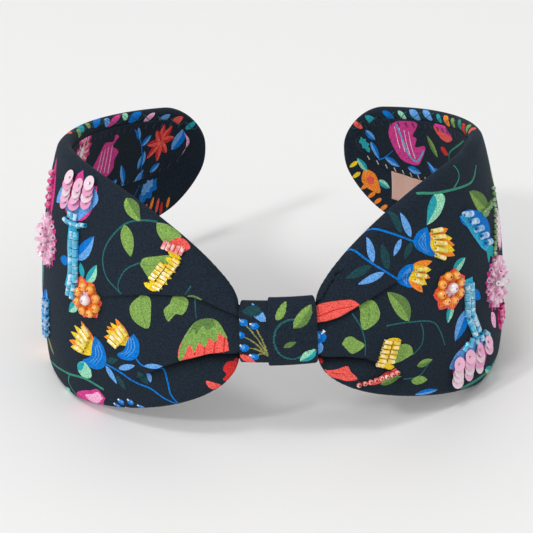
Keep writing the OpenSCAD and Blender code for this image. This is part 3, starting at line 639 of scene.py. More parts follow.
def print_lining(side):
    """What shows on the lining."""
    out = []
    if side == LEFT:
        out += moved(daisy(8, 14, "coral", "magenta"), (129.2, 24.5))
        out += outline([(141, 13.8), (145.2, 17.2), (148.5, 20.5), (154, 19.2), (154.8, 21.5), (157.2, 20),
                        (154, 17.5), (157.8, 14.2), (155.8, 11.5), (155.2, 8), (150, 6.2), (145.8, 10)],
                       "magenta")
        for i in range(4):
            out += stroke([(144.6 + 2.6 * i, 10.6 - i), (146 + 2.4 * i, 13.4), (147 + 2.2 * i, 18)], 0.5,
                          "rose", 0.5)
        out += stroke([(152, 5), (160, -1), (168, -9), (176, -8), (184, -4)], 0.6, "royal")
        for a, b in (((166.8, -8.8), (160.6, 1)), ((162, 0), (160, 8)), ((166, -4), (172, 2)), ((158, 3),
                                                                                                (152, 0)),
                     ((150, 3), (146, 8)), ((170.2, -5.8), (171.2, 1))):
            out += leaf(a, b, 2.6, "sky", "royal")
        out += stroke([(166, 20), (170, 13), (171, 4), (170, -6)], 0.5, "royal")
        for a, b in (((169, 15), (167.4, 20.6)), ((170.4, 12), (175, 15)), ((171, 8), (169, 3)), ((171, 4),
                                                                                                  (172, 9.6)),
                     ((175, 0), (179.6, 2.4))):
            out += leaf(a, b, 2.4, "royal", "sky")
        for tip in ((181, 17.6), (185.4, 16), (186, 11), (182.6, 5.6), (178.2, 3.4), (173.2, 6), (173.2,
                                                                                                  11.4),
                    (177.4, 16)):
            out += leaf((179.6, 11), tip, 2.6, "coral", "red", fat=0.6)
        out += blue_sprig()
        out += leaf((185, 6), (191.6, 13.4), 4.6, "sky", "royal")
        out += outline([(191, 12), (192.8, 7.5), (191.5, 4.2), (192.5, -1)], "pink")
        reach = ((118, 6), (112, 24), (104, -8), (92, 12), (80, -12), (68, 8), (52, -4))
    else:
        out += outline([(175, 17.2), (170, 20), (160, 22), (163.5, 16.2), (161.5, 15.5), (162.8, 11.8), (157,
                                                                                                         13.8),
                        (160, 7.8), (163, 4.5), (170.2, 4.2), (174.2, 8.2), (176.2, 13)], "magenta")
        for i in range(4):
            out += stroke([(163.6 + 2.5 * i, 7 + 0.6 * i), (165 + 2.3 * i, 11.6), (165.6 + 2.4 * i, 17)], 0.5,
                          "rose", 0.5)
        out += stroke([(171.8, 18.2), (170.2, 14.8), (168.8, 11.5), (167, 8), (163, 6), (158, 12)], 0.9,
                      "cyan", 0.7)
        out += stroke([(182.2, 1.2), (179.2, 2.8), (174.8, 6.8)], 0.6, "royal")
        for a, b in (((185, 7.8), (181.8, 1.5)), ((179, 3), (172, 1.2)), ((155, 5.6), (146, 6)), ((151, 3),
                                                                                                  (157, 8)),
                     ((168, 2), (161, 2)), ((183, 9), (188, 12))):
            out += leaf(a, b, 2.8, "sky", "royal")
        out += leaf((149.5, 24.2), (135, 24.6), 7, "coral", "magenta") + leaf((146.8, 16.8), (141.5, 16.2), 3,
                                                                              "red")
        out += stroke([(120.8, 29.5), (137.5, 19.5), (141.2, 15.5), (141.2, 10.8)], 0.7, "vine_green")
        out += oak((188, 6), 60, 0.8, "teal") + leaf((150, 12), (155, 19), 3.2, "leaf", "leaf_dark")
        reach = ((108, 6), (128, 2), (104, 26), (92, -10), (80, 14), (66, -6), (52, 6))
    for i, (x, z) in enumerate(reach):
        out += moved(crocus() if i % 2 else bead_flower(), (x, z), 70 * i, 0.75) + oak((x + 5, z - 12),
                                                                                       40 * i)
        out += leaf((x - 4, z + 10), (x + 2, z + 15), 3, "sky", "royal")
    return out


def print_turned_in(side):
    """What shows on the cloth turned in below the lining, in (s, z) as the lining."""
    out = stroke([(150, -8), (156, -14), (165, -18)], 0.6, "vine_green") + oak((152, -12), 30, 0.8)
    out += leaf((158, -20), (150, -24), 3, "sky", "royal") + oak((166, -17), -30 * side, 0.7, "teal")
    if side == LEFT:
        for a, b, c in (((170.8, -13), (174.2, -15), "red"), ((172.6, -17), (174.5, -12.6), "coral"),
                        ((175.6, -16), (177.6, -11), "orange"), ((178.4, -17.6), (180, -12), "coral"),
                        ((180.4, -19), (181.4, -14), "red"), ((183.4, -17), (184.6, -13), "orange")):
            out += leaf(a, b, 1.3, c, fat=0.5) + stroke([a, (a[0] + 0.4, a[1] - 4)], 0.3, "vine_green")
        return out + blue_sprig()
    out += outline([(189.5, -4.8), (186.8, -4.5), (184, -6.2), (182.5, -12.5), (187.5, -12.2), (190.5, -9.5)],
                   "orange")
    out += blob((186.6, -8.4), 1.6, 1.8, "coral", 5, 0.2)
    out += leaf((188, -5), (192, -0.6), 3, "teal", "mint") + leaf((183.2, -7.8), (178, -9.4), 3, "teal",
                                                                  "mint")
    for x, z in ((195.2, 2), (194.4, -4), (193.5, -8.2), (190, -12), (187.2, -14.8), (184.6, -16.6), (182,
                                                                                                      -18.6)):
        out += leaf((x - 2.6, z + 2), (x + 1, z - 1.2), 1.5, "orange" if z < -9 else "yellow", fat=0.6)
    return out


def print_rim(side):
    """What shows on the cloth turned in above the lining."""
    out = []
    if side == LEFT:
        spots = ((122, 37, 3, "coral"), (126, 33, 2.4, "leaf"), (131, 33.5, 3.4, "teal"), (137, 32, 2,
                                                                                           "leaf"),
                 (144, 30.5, 4.4, "royal"), (150, 28, 2, "sky"), (155, 27, 5, "magenta"), (161.6, 26.4, 1.8,
                                                                                           "mint"),
                 (166.8, 24.4, 4, "royal"), (174, 22, 3, "pink"), (181, 19.4, 3, "sky"), (187, 17, 3,
                                                                                          "coral"),
                 (193.4, 13.6, 2.4, "teal"))
    else:
        spots = ((110, 38, 3.6, "coral"), (116, 36, 3, "leaf"), (121, 33.6, 3, "red"), (127, 33, 3.6,
                                                                                        "vine_green"),
                 (134, 31, 2.4, "leaf"), (140, 29.6, 3, "orange"), (146, 28.4, 2.4, "teal"), (154.5, 27, 4,
                                                                                              "sky"),
                 (162, 24.6, 3.6, "sky"), (169, 22.4, 2.4, "mint"), (176, 20.4, 3, "royal"), (184.5, 16.4,
                                                                                              2.8, "teal"),
                 (191, 13, 2.4, "coral"))
    for i, (x, z, w, c) in enumerate(spots):
        out += leaf((x - w, z - 0.8), (x + w, z + 1), 2.4 + 0.5 * (i % 3), c, fat=0.7)
        out += stroke([(x - w, z + 2), (x + 1, z - 1.6), (x + w + 1, z - 1)], 0.35, "vine")
    return out


# ---------------------------------------------------------------- meshes

def triangulate(border, points, shapes):
    """Triangles of the flat cloth with every printed outline as an edge, and each one's colour."""
    verts = [tuple(p) for p in border] + [tuple(p) for p in points]
    edges = []
    for pts, _ in shapes:
        first = len(verts)
        edges += [(first + i, first + (i + 1) % len(pts)) for i in range(len(pts))]
        verts += [tuple(p) for p in pts]
    got = delaunay_2d_cdt(verts, edges, [list(range(len(border)))], 0, 1e-4, True)
    flat = np.array([(v.x, v.y) for v in got[0]])
    tri = np.array([face for face, owners in zip(got[2], got[5]) if owners])
    a, b, c = (flat[tri[:, i]] for i in range(3))
    area = (b - a)[:, 0] * (c - a)[:, 1] - (b - a)[:, 1] * (c - a)[:, 0]
    tri[area < 0] = tri[area < 0][:, ::-1]
    tri = tri[np.abs(area) > 1e-7]
    used, tri = np.unique(tri, return_inverse=True)
    flat, tri = flat[used], tri.reshape(-1, 3)
    spots = flat[tri].mean(1)
    name = np.full(len(tri), "ground", dtype="U16")
    for pts, c in shapes:
        low, high = pts.min(0), pts.max(0)
        near = np.where(((spots >= low) & (spots <= high)).all(1))[0]
        name[near[inside(spots[near], pts)]] = c
    return flat, tri, name


def colour_of(name):
    c = getattr(bpy.context.scene.headband_print, name)
    return (*c, 1.0)


def make_mesh(name, verts, faces, colours=None, uv=None, smooth=True):
    """A mesh object from whole arrays; colours are one a face, uv one a corner."""
    mesh = bpy.data.meshes.new(name)
    mesh.from_pydata(np.asarray(verts).tolist(), [], [list(map(int, f)) for f in faces])
    mesh.update()
    mesh.polygons.foreach_set("use_smooth", [smooth] * len(mesh.polygons))
    counts = np.array([len(f) for f in faces])
    if colours is not None:
        layer = mesh.color_attributes.new("print", "BYTE_COLOR", "CORNER")
        table = np.repeat(np.array(colours, float), counts, axis=0)
        layer.data.foreach_set("color", table.ravel())
    if uv is not None:
        layer = mesh.uv_layers.new(name="OFBake")
        layer.data.foreach_set("uv", np.asarray(uv, float).ravel())
    obj = bpy.data.objects.new(name, mesh)
    bpy.context.scene.collection.objects.link(obj)
    return obj


def weld(obj, distance=2e-6):
    """Joins the vertices that lie together and points the faces outwards."""
    import bmesh
    bm = bmesh.new()
    bm.from_mesh(obj.data)
    bmesh.ops.remove_doubles(bm, verts=bm.verts, dist=distance)
    bmesh.ops.dissolve_degenerate(bm, edges=bm.edges, dist=1e-7)
    bmesh.ops.recalc_face_normals(bm, faces=bm.faces)
    bm.to_mesh(obj.data)
    bm.free()
    return obj


def border_edges(tri):
    """Edges that belong to one triangle only, in its own direction."""
    e = np.vstack([tri[:, [0, 1]], tri[:, [1, 2]], tri[:, [2, 0]]])
    key = e[:, 0].astype(np.int64) * 10 ** 7 + e[:, 1]
    back = e[:, 1].astype(np.int64) * 10 ** 7 + e[:, 0]
    return e[~np.isin(key, back)]


EDGE_R = 2.4
COVER_MID = 0.5


def edges(band, side, s):
    """Upper and lower edge at s, and the radius the cloth turns round them with."""
    zt, zb = band.top(s, side), band.bottom(s, side)
    return zt, zb, np.minimum(EDGE_R, 0.49 * (zt - zb))


def unroll(band, side, s, t):
    """Layer height and z of the point t along the cloth's way round the section at s.

    t equals z on the outer face; past each edge the cloth goes half round a circle and then back
    along the head side, so the whole cover is one flat sheet in (s, t)."""
    zt, zb, r = edges(band, side, s)
    cap = np.sqrt(1 - np.clip((s - band.length[side] + EDGE_R) / EDGE_R, 0, 1) ** 2)
    rn = EDGE_R * cap
    hi, lo = zt - r, zb + r
    up, down = np.clip((t - hi) / r, 0, np.pi), np.clip((lo - t) / r, 0, np.pi)
    n = COVER_MID + rn * np.cos(np.maximum(up, down))
    past_up, past_down = np.maximum(t - hi - np.pi * r, 0), np.maximum(lo - t - np.pi * r, 0)
    z = np.clip(t, lo, hi) + r * np.sin(up) - r * np.sin(down)
    z = np.where(past_up > 0, hi - past_up, np.where(past_down > 0, lo + past_down, z))
    face = np.clip((t - lo) / (hi - lo + 1e-9), 0, 1)
    front = np.where((up > 0) | (down > 0), np.clip(np.cos(np.maximum(up, down)), 0, 1), 1)
    swell = band.crown * np.clip(4 * face * (1 - face), 0, 1) ** 0.6 * cap
    n = n + np.where(front > 0, swell + relief(s, t, side) * front * ease(s, 197, 188), 0)
    return n, z


def cover_stations(band, side):
    k, turn = band.start[side], band.length[side] - band.tip_round
    near = k + np.array([-2.4, -1.6, -0.8, 0, 0.15, 0.4, 0.8, 1.3, 2, 3, 4.2, 5.6, 7.2])
    run = np.arange(k + 8.8, turn, 1.7)
    tip = turn + band.tip_round * np.sin(np.linspace(0.02, math.pi / 2, 22))
    tip[-1] = band.length[side] - 0.01
    return np.concatenate([near, run, tip])


def limits(band, side, s):
    """Lower and upper end of the sheet at s: both lie on the hidden middle line behind the lining."""
    zt, zb, r = edges(band, side, s)
    half = (zt - zb) / 2 - r
    return zb + r - np.pi * r - half, zt - r + np.pi * r + half


def cover_points(band, side, stations):
    """Rows of points across the sheet, closer together round both edges and along the creases."""
    rows = []
    for s in stations[1:-1]:
        zt, zb, r = map(float, edges(band, side, s))
        lo, hi = zb + r, zt - r
        arc = np.pi * r * np.linspace(0, 1, 13)
        count = max(2, int((hi - lo) / 1.7))
        a, b = limits(band, side, s)
        back = max(2, int((lo - np.pi * r - a) / 3.0))
        t = np.concatenate([np.linspace(a, lo - np.pi * r, back, endpoint=False)[1:], lo - arc[::-1],
                            np.linspace(lo, hi, count + 1)[1:-1], hi + arc,
                            np.linspace(hi + np.pi * r, b, back + 1)[1:-1]])
        rows.append(np.stack([np.full_like(t, s), t], -1))
    for points, *_ in CREASES[side]:
        p = np.array(points, float)
        x = np.arange(p[0, 0] - 0.5, p[-1, 0] + 2, 0.6)
        line = np.interp(x, p[:, 0], p[:, 1])
        for d in (-3, -1.9, -1.2, -0.8, -0.55, -0.35, -0.2, -0.08, 0.08, 0.2, 0.35, 0.55, 0.8, 1.2, 1.9, 3):
            ok = np.abs(line + d) < band.top(x, side) - 3
            rows.append(np.stack([x[ok], (line + d)[ok]], -1))
    return np.vstack(rows)


def cloth_uv(flat, tri):
    """Flat cloth laid into the unit square, so the print bakes without stretching."""
    low = flat.min(0)
    span = (flat.max(0) - low).max() * 1.02
    return ((flat - low) / span)[tri.reshape(-1)]


def make_cover(band, label, side):
    """The printed cover: the flat sheet wrapped round the padding and closed along its back."""
    stations = cover_stations(band, side)
    a, b = limits(band, side, stations)
    ends = np.linspace(0, 1, 40)[1:-1]
    border = np.vstack([np.stack([stations, a], -1),
                        np.stack([np.full(len(ends), stations[-1]), a[-1] + (b - a)[-1] * ends], -1),
                        np.stack([stations, b], -1)[::-1],
                        np.stack([np.full(len(ends), stations[0]), b[0] + (a - b)[0] * ends], -1)])
    shapes = print_back(side) + (print_left() if side == LEFT else print_right())
    for way, drawn in ((-1, print_turned_in(side)), (1, print_rim(side))):
        for pts, c in drawn:
            zt, zb, r = edges(band, side, pts[:, 0])
            fold = (zb + r) if way < 0 else (zt - r)
            shapes.append((np.stack([pts[:, 0], 2 * fold + way * np.pi * r - pts[:, 1]], -1), c))
    flat, tri, names = triangulate(border, cover_points(band, side, stations), shapes)
    n, z = unroll(band, side, flat[:, 0], flat[:, 1])
    verts = band.place(flat[:, 0], n, z, side)
    cap = []
    spots = flat[tri].mean(1)
    # Painted shade: the print is darkened under each fold by fold_shade.
    shade = fold_shade(spots[:, 0], spots[:, 1], side)
    colours = [(*[v * f for v in colour_of(c)[:3]], 1.0) for c, f in zip(names, shade)]
    uv = cloth_uv(flat, tri)
    for s_end in (stations[0], stations[-1]):
        ring = np.where(np.abs(flat[:, 0] - s_end) < 1e-6)[0]
        ring = ring[np.argsort(flat[ring, 1])]
        middle = verts[ring].mean(0)
        verts = np.vstack([verts, middle])
        for i, j in zip(ring[:-1], ring[1:]):
            cap.append([i, j, len(verts) - 1])
    uv = np.vstack([uv, np.tile([0.995, 0.995], (3 * len(cap), 1))])
    colours += [colour_of("ground")] * len(cap)
    faces = np.vstack([tri, np.array(cap)])
    return weld(make_mesh(label + "_printed_cover", verts, faces, colours, uv))


def make_layer(band, name, side, n0, n1, m):
    """A hidden flat layer between two heights, set in by m from the edge of the band."""
    k, turn = band.start[side], band.length[side] - band.tip_round
    s = np.concatenate([k + np.array([-2.4, -1, 0, 0.4, 1.2, 3, 6, 10]), np.arange(k + 14, 179, 4),
                        turn + (band.tip_round - m) * np.array([0.2, 0.45, 0.7, 0.85, 0.95])])
    v = np.linspace(0, 1, 7)
    grid_s, grid_v = np.meshgrid(s, v, indexing="ij")
    lo, hi = band.bottom(grid_s, side, m), band.top(grid_s, side, m)
    z = lo + (hi - lo) * grid_v
    ring = np.concatenate([band.place(grid_s, n1, z, side), band.place(grid_s, n0, z, side)[:, ::-1]], 1)
    return close_rings(name, ring)


def close_rings(name, ring, colours=None, uv=None):
    """A closed skin through rings of points, with a flat end on the first and last."""
    rows, cols = ring.shape[:2]
    i, j = np.meshgrid(np.arange(rows - 1), np.arange(cols), indexing="ij")
    a, b = i * cols + j, i * cols + (j + 1) % cols
    quads = np.stack([a, b, b + cols, a + cols], -1).reshape(-1, 4)
    faces = [list(q) for q in quads] + [list(range(cols)), list(range((rows - 1) * cols, rows * cols))]
    if colours is not None:
        colours = list(colours) + [colours[0], colours[-1]]
    return weld(make_mesh(name, ring.reshape(-1, 3), faces, colours, uv))


def make_sheet(name, border, points, shapes, outer, inner):
    """A cloth sheet with its print on one face, its own thickness and closed edges."""
    flat, tri, names = triangulate(border, points, shapes)
    count = len(flat)
    verts = np.vstack([outer(flat[:, 0], flat[:, 1]), inner(flat[:, 0], flat[:, 1])])
    e = border_edges(tri)
    walls = np.vstack([np.stack([e[:, 0], e[:, 0] + count, e[:, 1] + count], -1),
                       np.stack([e[:, 0], e[:, 1] + count, e[:, 1]], -1)])
    faces = np.vstack([tri, tri[:, ::-1] + count, walls])
    colours = [colour_of(c) for c in names] + [colour_of("ground")] * (len(tri) + len(walls))
    uv = cloth_uv(flat, tri)
    uv = np.vstack([uv * 0.96, np.tile([0.99, 0.99], (3 * (len(tri) + len(walls)), 1))])
    return weld(make_mesh(name, verts, faces, colours, uv), 1e-7)


def lining_cut(band, side):
    """Flat width and length of the lining and its flat area, in metres and square metres."""
    s = np.linspace(band.start[side] + 2, 193, 200)
    low, high = band.seam(s, side) - 1.2, band.top(s, side) - 3.8
    size = (float(high.max() - low.min()) * MM, float(np.ptp(s)) * MM)
    return size, float((high - low).mean() * np.ptp(s)) * MM ** 2


def make_lining(band, label, side):
    """The lining: a printed sheet slip-stitched over the turned-in edges, soft hollows between stitches."""
    k = band.start[side]
    s = np.concatenate([k + np.array([2, 3, 4, 5.5, 7, 9]), np.arange(k + 11, 193, 2.0), [193.0]])
    low, high = band.seam(s, side) - 1.2, band.top(s, side) - 3.8
    border = np.vstack([np.stack([s, low], -1), np.stack([s, high], -1)[::-1]])
    rows = []
    for x, a, b in zip(s[1:-1], low[1:-1], high[1:-1]):
        t = np.linspace(a, b, max(3, int((b - a) / 2.2)))[1:-1]
        t = np.concatenate([[a + 0.35, a + 0.9], t[(t > a + 1.2) & (t < b - 1.2)], [b - 0.9, b - 0.35]])
        rows.append(np.stack([np.full_like(t, x), t], -1))

    def face(x, z):
        a, b = band.seam(x, side) - 1.2, band.top(x, side) - 3.8
        edge = np.clip(np.minimum(z - a, b - z) / 1.1, 0, 1)
        pull = 0.12 * np.cos(2 * np.pi * x / 4) * np.exp(-np.minimum(z - a, b - z) / 1.6)
        wave = 0.1 * np.sin(x * 0.19 + z * 0.11) * np.sin(z * 0.17)
        out = -0.3 * np.sqrt(1 - (1 - edge) ** 2) - pull * edge - wave * edge
        return band.place(rounded(x, z), -2.35, z, side, out)

    def rounded(x, z):
        """The end of the lining is a curve: pulled back towards both edges."""
        a, b = band.seam(x, side) - 1.2, band.top(x, side) - 3.8
        return x - 3.5 * ease(x, 180, 193) * (2 * (z - a) / (b - a) - 1) ** 2
    return make_sheet(label + "_printed_lining", border, np.vstack(rows), print_lining(side), face,
                      lambda x, z: band.place(rounded(x, z), -2.1, z, side))


def wrap_ring(band, s, grow, count, drop):
    """Rounded ring round both necks at s: straight sides joined by half circles; make_turn adds the puckers."""
    half = band.wrap_half + grow - drop
    ni, no = band.wrap_in - grow + drop, band.wrap_out + grow - drop
    r, c = (no - ni) / 2, (no + ni) / 2
    straight = 2 * (half - r)
    length = 2 * straight + 2 * np.pi * r
    d = np.linspace(0, length, count, endpoint=False) + straight / 2
    d = d % length
    n, z = np.empty(count), np.empty(count)
    q = [straight, straight + np.pi * r, 2 * straight + np.pi * r]
    k = d < q[0]
    n[k], z[k] = ni, half - r - d[k]
    k = (d >= q[0]) & (d < q[1])
    a = (d[k] - q[0]) / r
    n[k], z[k] = c - r * np.cos(a), -(half - r) - r * np.sin(a)
    k = (d >= q[1]) & (d < q[2])
    n[k], z[k] = no, -(half - r) + d[k] - q[1]
    k = d >= q[2]
    a = (d[k] - q[2]) / r
    n[k], z[k] = c + r * np.cos(a), (half - r) + r * np.sin(a)
    return n, z


def make_turn(band, name, a, b, grow, shapes):
    """One turn of the wrap: a tube of cloth with folded, rounded edges and puckers from the pull."""
    count, steps = 200, int((b - a) / 0.28)
    u = np.linspace(0, 1, steps + 1)
    out_s = a + (b - a) * u
    edge = np.minimum(out_s - a, b - out_s)
    round_in = 0.45 * (1 - np.sqrt(1 - np.clip(1 - edge / 0.5, 0, 1) ** 2))
    rows, flat = [], []
    for s, d in zip(out_s, round_in):
        n, z = wrap_ring(band, s, grow, count, d)
        front = np.clip(n / band.wrap_out, 0, 1)
        w = (s - a) / (b - a)
        swell = 0.55 * math.sin(math.pi * w) * (1 - (z / 12) ** 2) * front
        pucker = (0.2 * np.sin(z * 1.15 + 2.2 * w + grow) + 0.13 * np.sin(z * 2.3 - 3 * w)) * front
        pucker *= 1 - 0.4 * math.sin(math.pi * w)
        rows.append(band.place(np.full(count, s), np.zeros(count), z, RIGHT, n + swell + pucker))
        flat.append(np.stack([np.full(count, s), np.where(n > -1, z, 99)], -1))
    for s in out_s[::-6]:
        n, z = wrap_ring(band, s, grow - band.wrap_t, count, 0)
        rows.append(band.place(np.full(count, s), np.zeros(count), z, RIGHT, n))
        flat.append(np.full((count, 2), 99.0))
    ring, flat = np.array(rows), np.array(flat)
    total = len(ring)
    i, j = np.meshgrid(np.arange(total), np.arange(count), indexing="ij")
    i2, j2 = (i + 1) % total, (j + 1) % count
    quads = np.stack([i * count + j, i * count + j2, i2 * count + j2, i2 * count + j], -1).reshape(-1, 4)
    centre = (flat[i, j] + flat[i2, j] + flat[i, j2] + flat[i2, j2]) / 4
    colours = np.tile(np.array(colour_of("ground")), (total * count, 1))
    spots = centre.reshape(-1, 2)
    for pts, c in shapes:
        colours[inside(spots, pts)] = colour_of(c)
    uv = np.stack([np.stack([i, j], -1), np.stack([i, j + 1], -1), np.stack([i + 1, j + 1], -1),
                   np.stack([i + 1, j], -1)], 2).reshape(-1, 2) / np.array([total, count])
    obj = make_mesh(name, ring.reshape(-1, 3), quads, colours, uv)
    return weld(obj, 1e-7)


def inside(spots, poly):
    """Which spots lie in a polygon: odd number of crossings of a level ray."""
    x, y = spots[:, 0], spots[:, 1]
    hit = np.zeros(len(spots), bool)
    for (x0, y0), (x1, y1) in zip(poly, np.roll(poly, -1, axis=0)):
        if y0 == y1:
            continue
        cross = (y0 > y) != (y1 > y)
        hit ^= cross & (x < (x1 - x0) * (y - y0) / (y1 - y0) + x0)
    return hit


def print_wrap_under():
    """Olive stems with blue berries, and leaves above."""
    out = []
    for tip in ((-8.6, 4.6), (-9.4, 0.4), (-8.4, -3.6), (-5.6, -6.6), (-5.4, 3.6)):
        out += stroke([(-1.4, -6), ((tip[0] - 1.4) / 2, (tip[1] - 6) / 2 + 1), tip], 0.5, "olive", 0.7)
        out += berry(tip, 1.3, (-0.8, 0.4))
    out += leaf((-2, 5), (-6.4, 9.6), 2.6, "sky") + leaf((-3, 8), (-9, 8), 2.6, "teal_dark")
    return out + leaf((-9.6, -6), (-5, -9.6), 2.4, "coral")


def print_wrap_over():
    """A teal vine arc, a green leaf and a mint leaf."""
    a = np.linspace(1.0, 5.2, 14)
    out = stroke([(5.4 + 5.2 * math.cos(t), -0.4 + 6.4 * math.sin(t)) for t in a], 0.6, "vine", 0.8, 2)
    out += leaf((6, 3), (11.6, 9.6), 4, "leaf", "leaf_dark") + leaf((7.6, -8), (12.4, -4.4), 3.4, "mint",
                                                                    "teal")
    out += leaf((1, 6), (4, 10.4), 2.4, "leaf") + leaf((3, -3), (6.6, -1), 1.8, "leaf_dark")
    return out


LABEL_AT, LABEL_LEN, LABEL_DROP = 155.5, 21.0, 13.0


def make_label(band):
    """A blank woven label caught in the lower seam, its free edge lifting a little."""
    s = np.linspace(LABEL_AT, LABEL_AT + LABEL_LEN, 22)
    v = np.linspace(0, 1, 14)
    gs, gv = np.meshgrid(s, v, indexing="ij")
    drop = LABEL_DROP + 2 * np.clip((LABEL_AT + 7 - gs) / 7, -1, 0)
    z = band.seam(gs, RIGHT) - 1.4 - gv * drop
    lift = 0.15 + 0.75 * gv ** 2 * (0.6 + 0.4 * np.sin(gs * 0.5)) + 0.12 * np.sin(gs * 0.8 + gv * 2)
    face = band.place(gs, -2.1, z, RIGHT, -0.25 - lift)
    back = band.place(gs, -2.1, z, RIGHT, -0.02 - lift)
    ring = np.concatenate([face, back[:, ::-1]], 1)
    return close_rings("satin_label", ring[:, ::-1])


# Sequin columns: first sequin (s, z), direction in degrees, how many
SEQUIN_COLUMNS = {
    LEFT: ((64.7, 31, 92, 4), (71, 29, 98, 4), (77, 28, 92, 5)),
    RIGHT: ((60.4, -25.2, -94, 4), (65.6, -24.4, -95, 4), (71, -23.8, -94, 4), (76.3, -23, -90, 2)),
}


def make_sequins(band, label, side):
    """Cupped discs in overlapping columns, each tilted its own way.

    Height grows with the square of the radius.
    """
    chance = np.random.default_rng(7 + side)
    radius = np.array([0.4, 1.1, 1.8, 2.15, 2.4, 2.4, 2.15, 1.8, 1.1, 0.4])
    height = 0.4 * (radius / 2.4) ** 2 + np.array([0, 0, 0, 0, -0.02, -0.12, -0.14, -0.14, -0.14, -0.14])
    a = np.linspace(0, 2 * np.pi, 18, endpoint=False)
    ring = np.stack([radius[:, None] * np.cos(a), radius[:, None] * np.sin(a),
                     np.repeat(height[:, None], 18, 1)], -1)
    i, j = np.meshgrid(np.arange(10), np.arange(18), indexing="ij")
    i2, j2 = (i + 1) % 10, (j + 1) % 18
    quads = np.stack([i * 18 + j, i * 18 + j2, i2 * 18 + j2, i2 * 18 + j], -1).reshape(-1, 4)
    verts, faces, colours = [], [], []
    tones = [colour_of(c) for c in ("pink", "rose", "pink", "petal")]
    for s0, z0, way, count in SEQUIN_COLUMNS[side]:
        for k in range(count):
            t = math.radians(way)
            s, z = s0 + 2 * k * math.cos(t), z0 + 2 * k * math.sin(t)
            at = np.array(s)
            p0 = band.place(at, 2.9, np.array(z), side, 1.4) / MM
            along = band.place(at + 0.5, 2.9, np.array(z), side, 1.4) / MM - p0
            rise = band.place(at, 2.9, np.array(z + 0.5), side, 1.4) / MM - p0
            along, rise = along / np.linalg.norm(along), rise / np.linalg.norm(rise)
            out = np.cross(along, rise) * side
            lead = along * math.cos(t) + rise * math.sin(t)
            tip = 0.36 * side
            lead, out = lead * math.cos(tip) + out * math.sin(tip), out * math.cos(tip) - lead * math.sin(tip)
            out = out + chance.uniform(-0.16, 0.16) * np.cross(out, lead) + chance.uniform(-0.08, 0.1) * lead
            out /= np.linalg.norm(out)
            lead -= out * (lead @ out)
            lead /= np.linalg.norm(lead)
            turned = ring @ np.array([lead, np.cross(out, lead), out])
            faces.append(quads + 180 * len(verts))
            verts.append((p0 + turned.reshape(-1, 3)) * MM)
            colours += [tones[chance.integers(4)]] * len(quads)
    uv = np.tile([[0, 0], [0, 1], [1, 1], [1, 0]], (len(colours), 1))
    return weld(make_mesh(label + "_cupped_sequins", np.vstack(verts), np.vstack(faces), colours, uv), 1e-8)


# ---------------------------------------------------------------- materials

def new_material(name):
    m = bpy.data.materials.new(name)
    m.use_nodes = True
    nodes, links = m.node_tree.nodes, m.node_tree.links
    return m, nodes, links, nodes["Principled BSDF"]


def bump(nodes, links, shader, height, strength, distance):
    b = nodes.new("ShaderNodeBump")
    b.inputs["Strength"].default_value = strength
    b.inputs["Distance"].default_value = distance
    links.new(height, b.inputs["Height"])
    links.new(b.outputs["Normal"], shader.inputs["Normal"])


def printed_cotton():
    """Cotton with its print: the colour attribute, which on the covers also carries painted shade under the
    folds, darkened and lightened thread by thread by noise.
    """
    m, nodes, links, bsdf = new_material("Printed cotton")
    paint = nodes.new("ShaderNodeAttribute")
    paint.attribute_name = "print"
    where = nodes.new("ShaderNodeTexCoord")
    fleck = nodes.new("ShaderNodeTexNoise")
    fleck.inputs["Scale"].default_value = 2300
    fleck.inputs["Detail"].default_value = 3
    links.new(where.outputs["Object"], fleck.inputs["Vector"])
    ramp = nodes.new("ShaderNodeMapRange")
    for key, value in (("From Min", 0.32), ("From Max", 0.72), ("To Min", 0.6), ("To Max", 1.5)):
        ramp.inputs[key].default_value = value
    links.new(fleck.outputs["Fac"], ramp.inputs["Value"])
    shade = nodes.new("ShaderNodeVectorMath")
    shade.operation = "SCALE"
    links.new(paint.outputs["Color"], shade.inputs[0])
    links.new(ramp.outputs["Result"], shade.inputs["Scale"])
    links.new(shade.outputs["Vector"], bsdf.inputs["Base Color"])
    bsdf.inputs["Roughness"].default_value = 0.88
    bsdf.inputs["Sheen Weight"].default_value = 0.04
    bsdf.inputs["Sheen Roughness"].default_value = 0.4
    bsdf.inputs["Sheen Tint"].default_value = (0.6, 0.75, 0.9, 1)
    bsdf.inputs["Specular IOR Level"].default_value = 0.1
    weave = nodes.new("ShaderNodeTexVoronoi")
    weave.inputs["Scale"].default_value = 2200
    links.new(where.outputs["Object"], weave.inputs["Vector"])
    bump(nodes, links, bsdf, weave.outputs["Distance"], 0.4, 0.0002)
    return m


def plain(name, colour, rough, **extra):
    """One colour with a slight mottle, for foam, plastic, thread and satin."""
    m, nodes, links, bsdf = new_material(name)
    where = nodes.new("ShaderNodeTexCoord")
    noise = nodes.new("ShaderNodeTexNoise")
    noise.inputs["Scale"].default_value = extra.pop("scale", 900)
    links.new(where.outputs["Object"], noise.inputs["Vector"])
    ramp = nodes.new("ShaderNodeValToRGB")
    spread = extra.pop("spread", 0.12)
    ramp.color_ramp.elements[0].color = (*[c * (1 - spread) for c in colour], 1)
    ramp.color_ramp.elements[1].color = (*[min(1, c * (1 + spread)) for c in colour], 1)
    ramp.color_ramp.elements[0].position = 0.3
    ramp.color_ramp.elements[1].position = 0.7
    links.new(noise.outputs["Fac"], ramp.inputs["Fac"])
    links.new(ramp.outputs["Color"], bsdf.inputs["Base Color"])
    bsdf.inputs["Roughness"].default_value = rough
    for key, value in extra.items():
        bsdf.inputs[key.replace("_", " ")].default_value = value
    return m


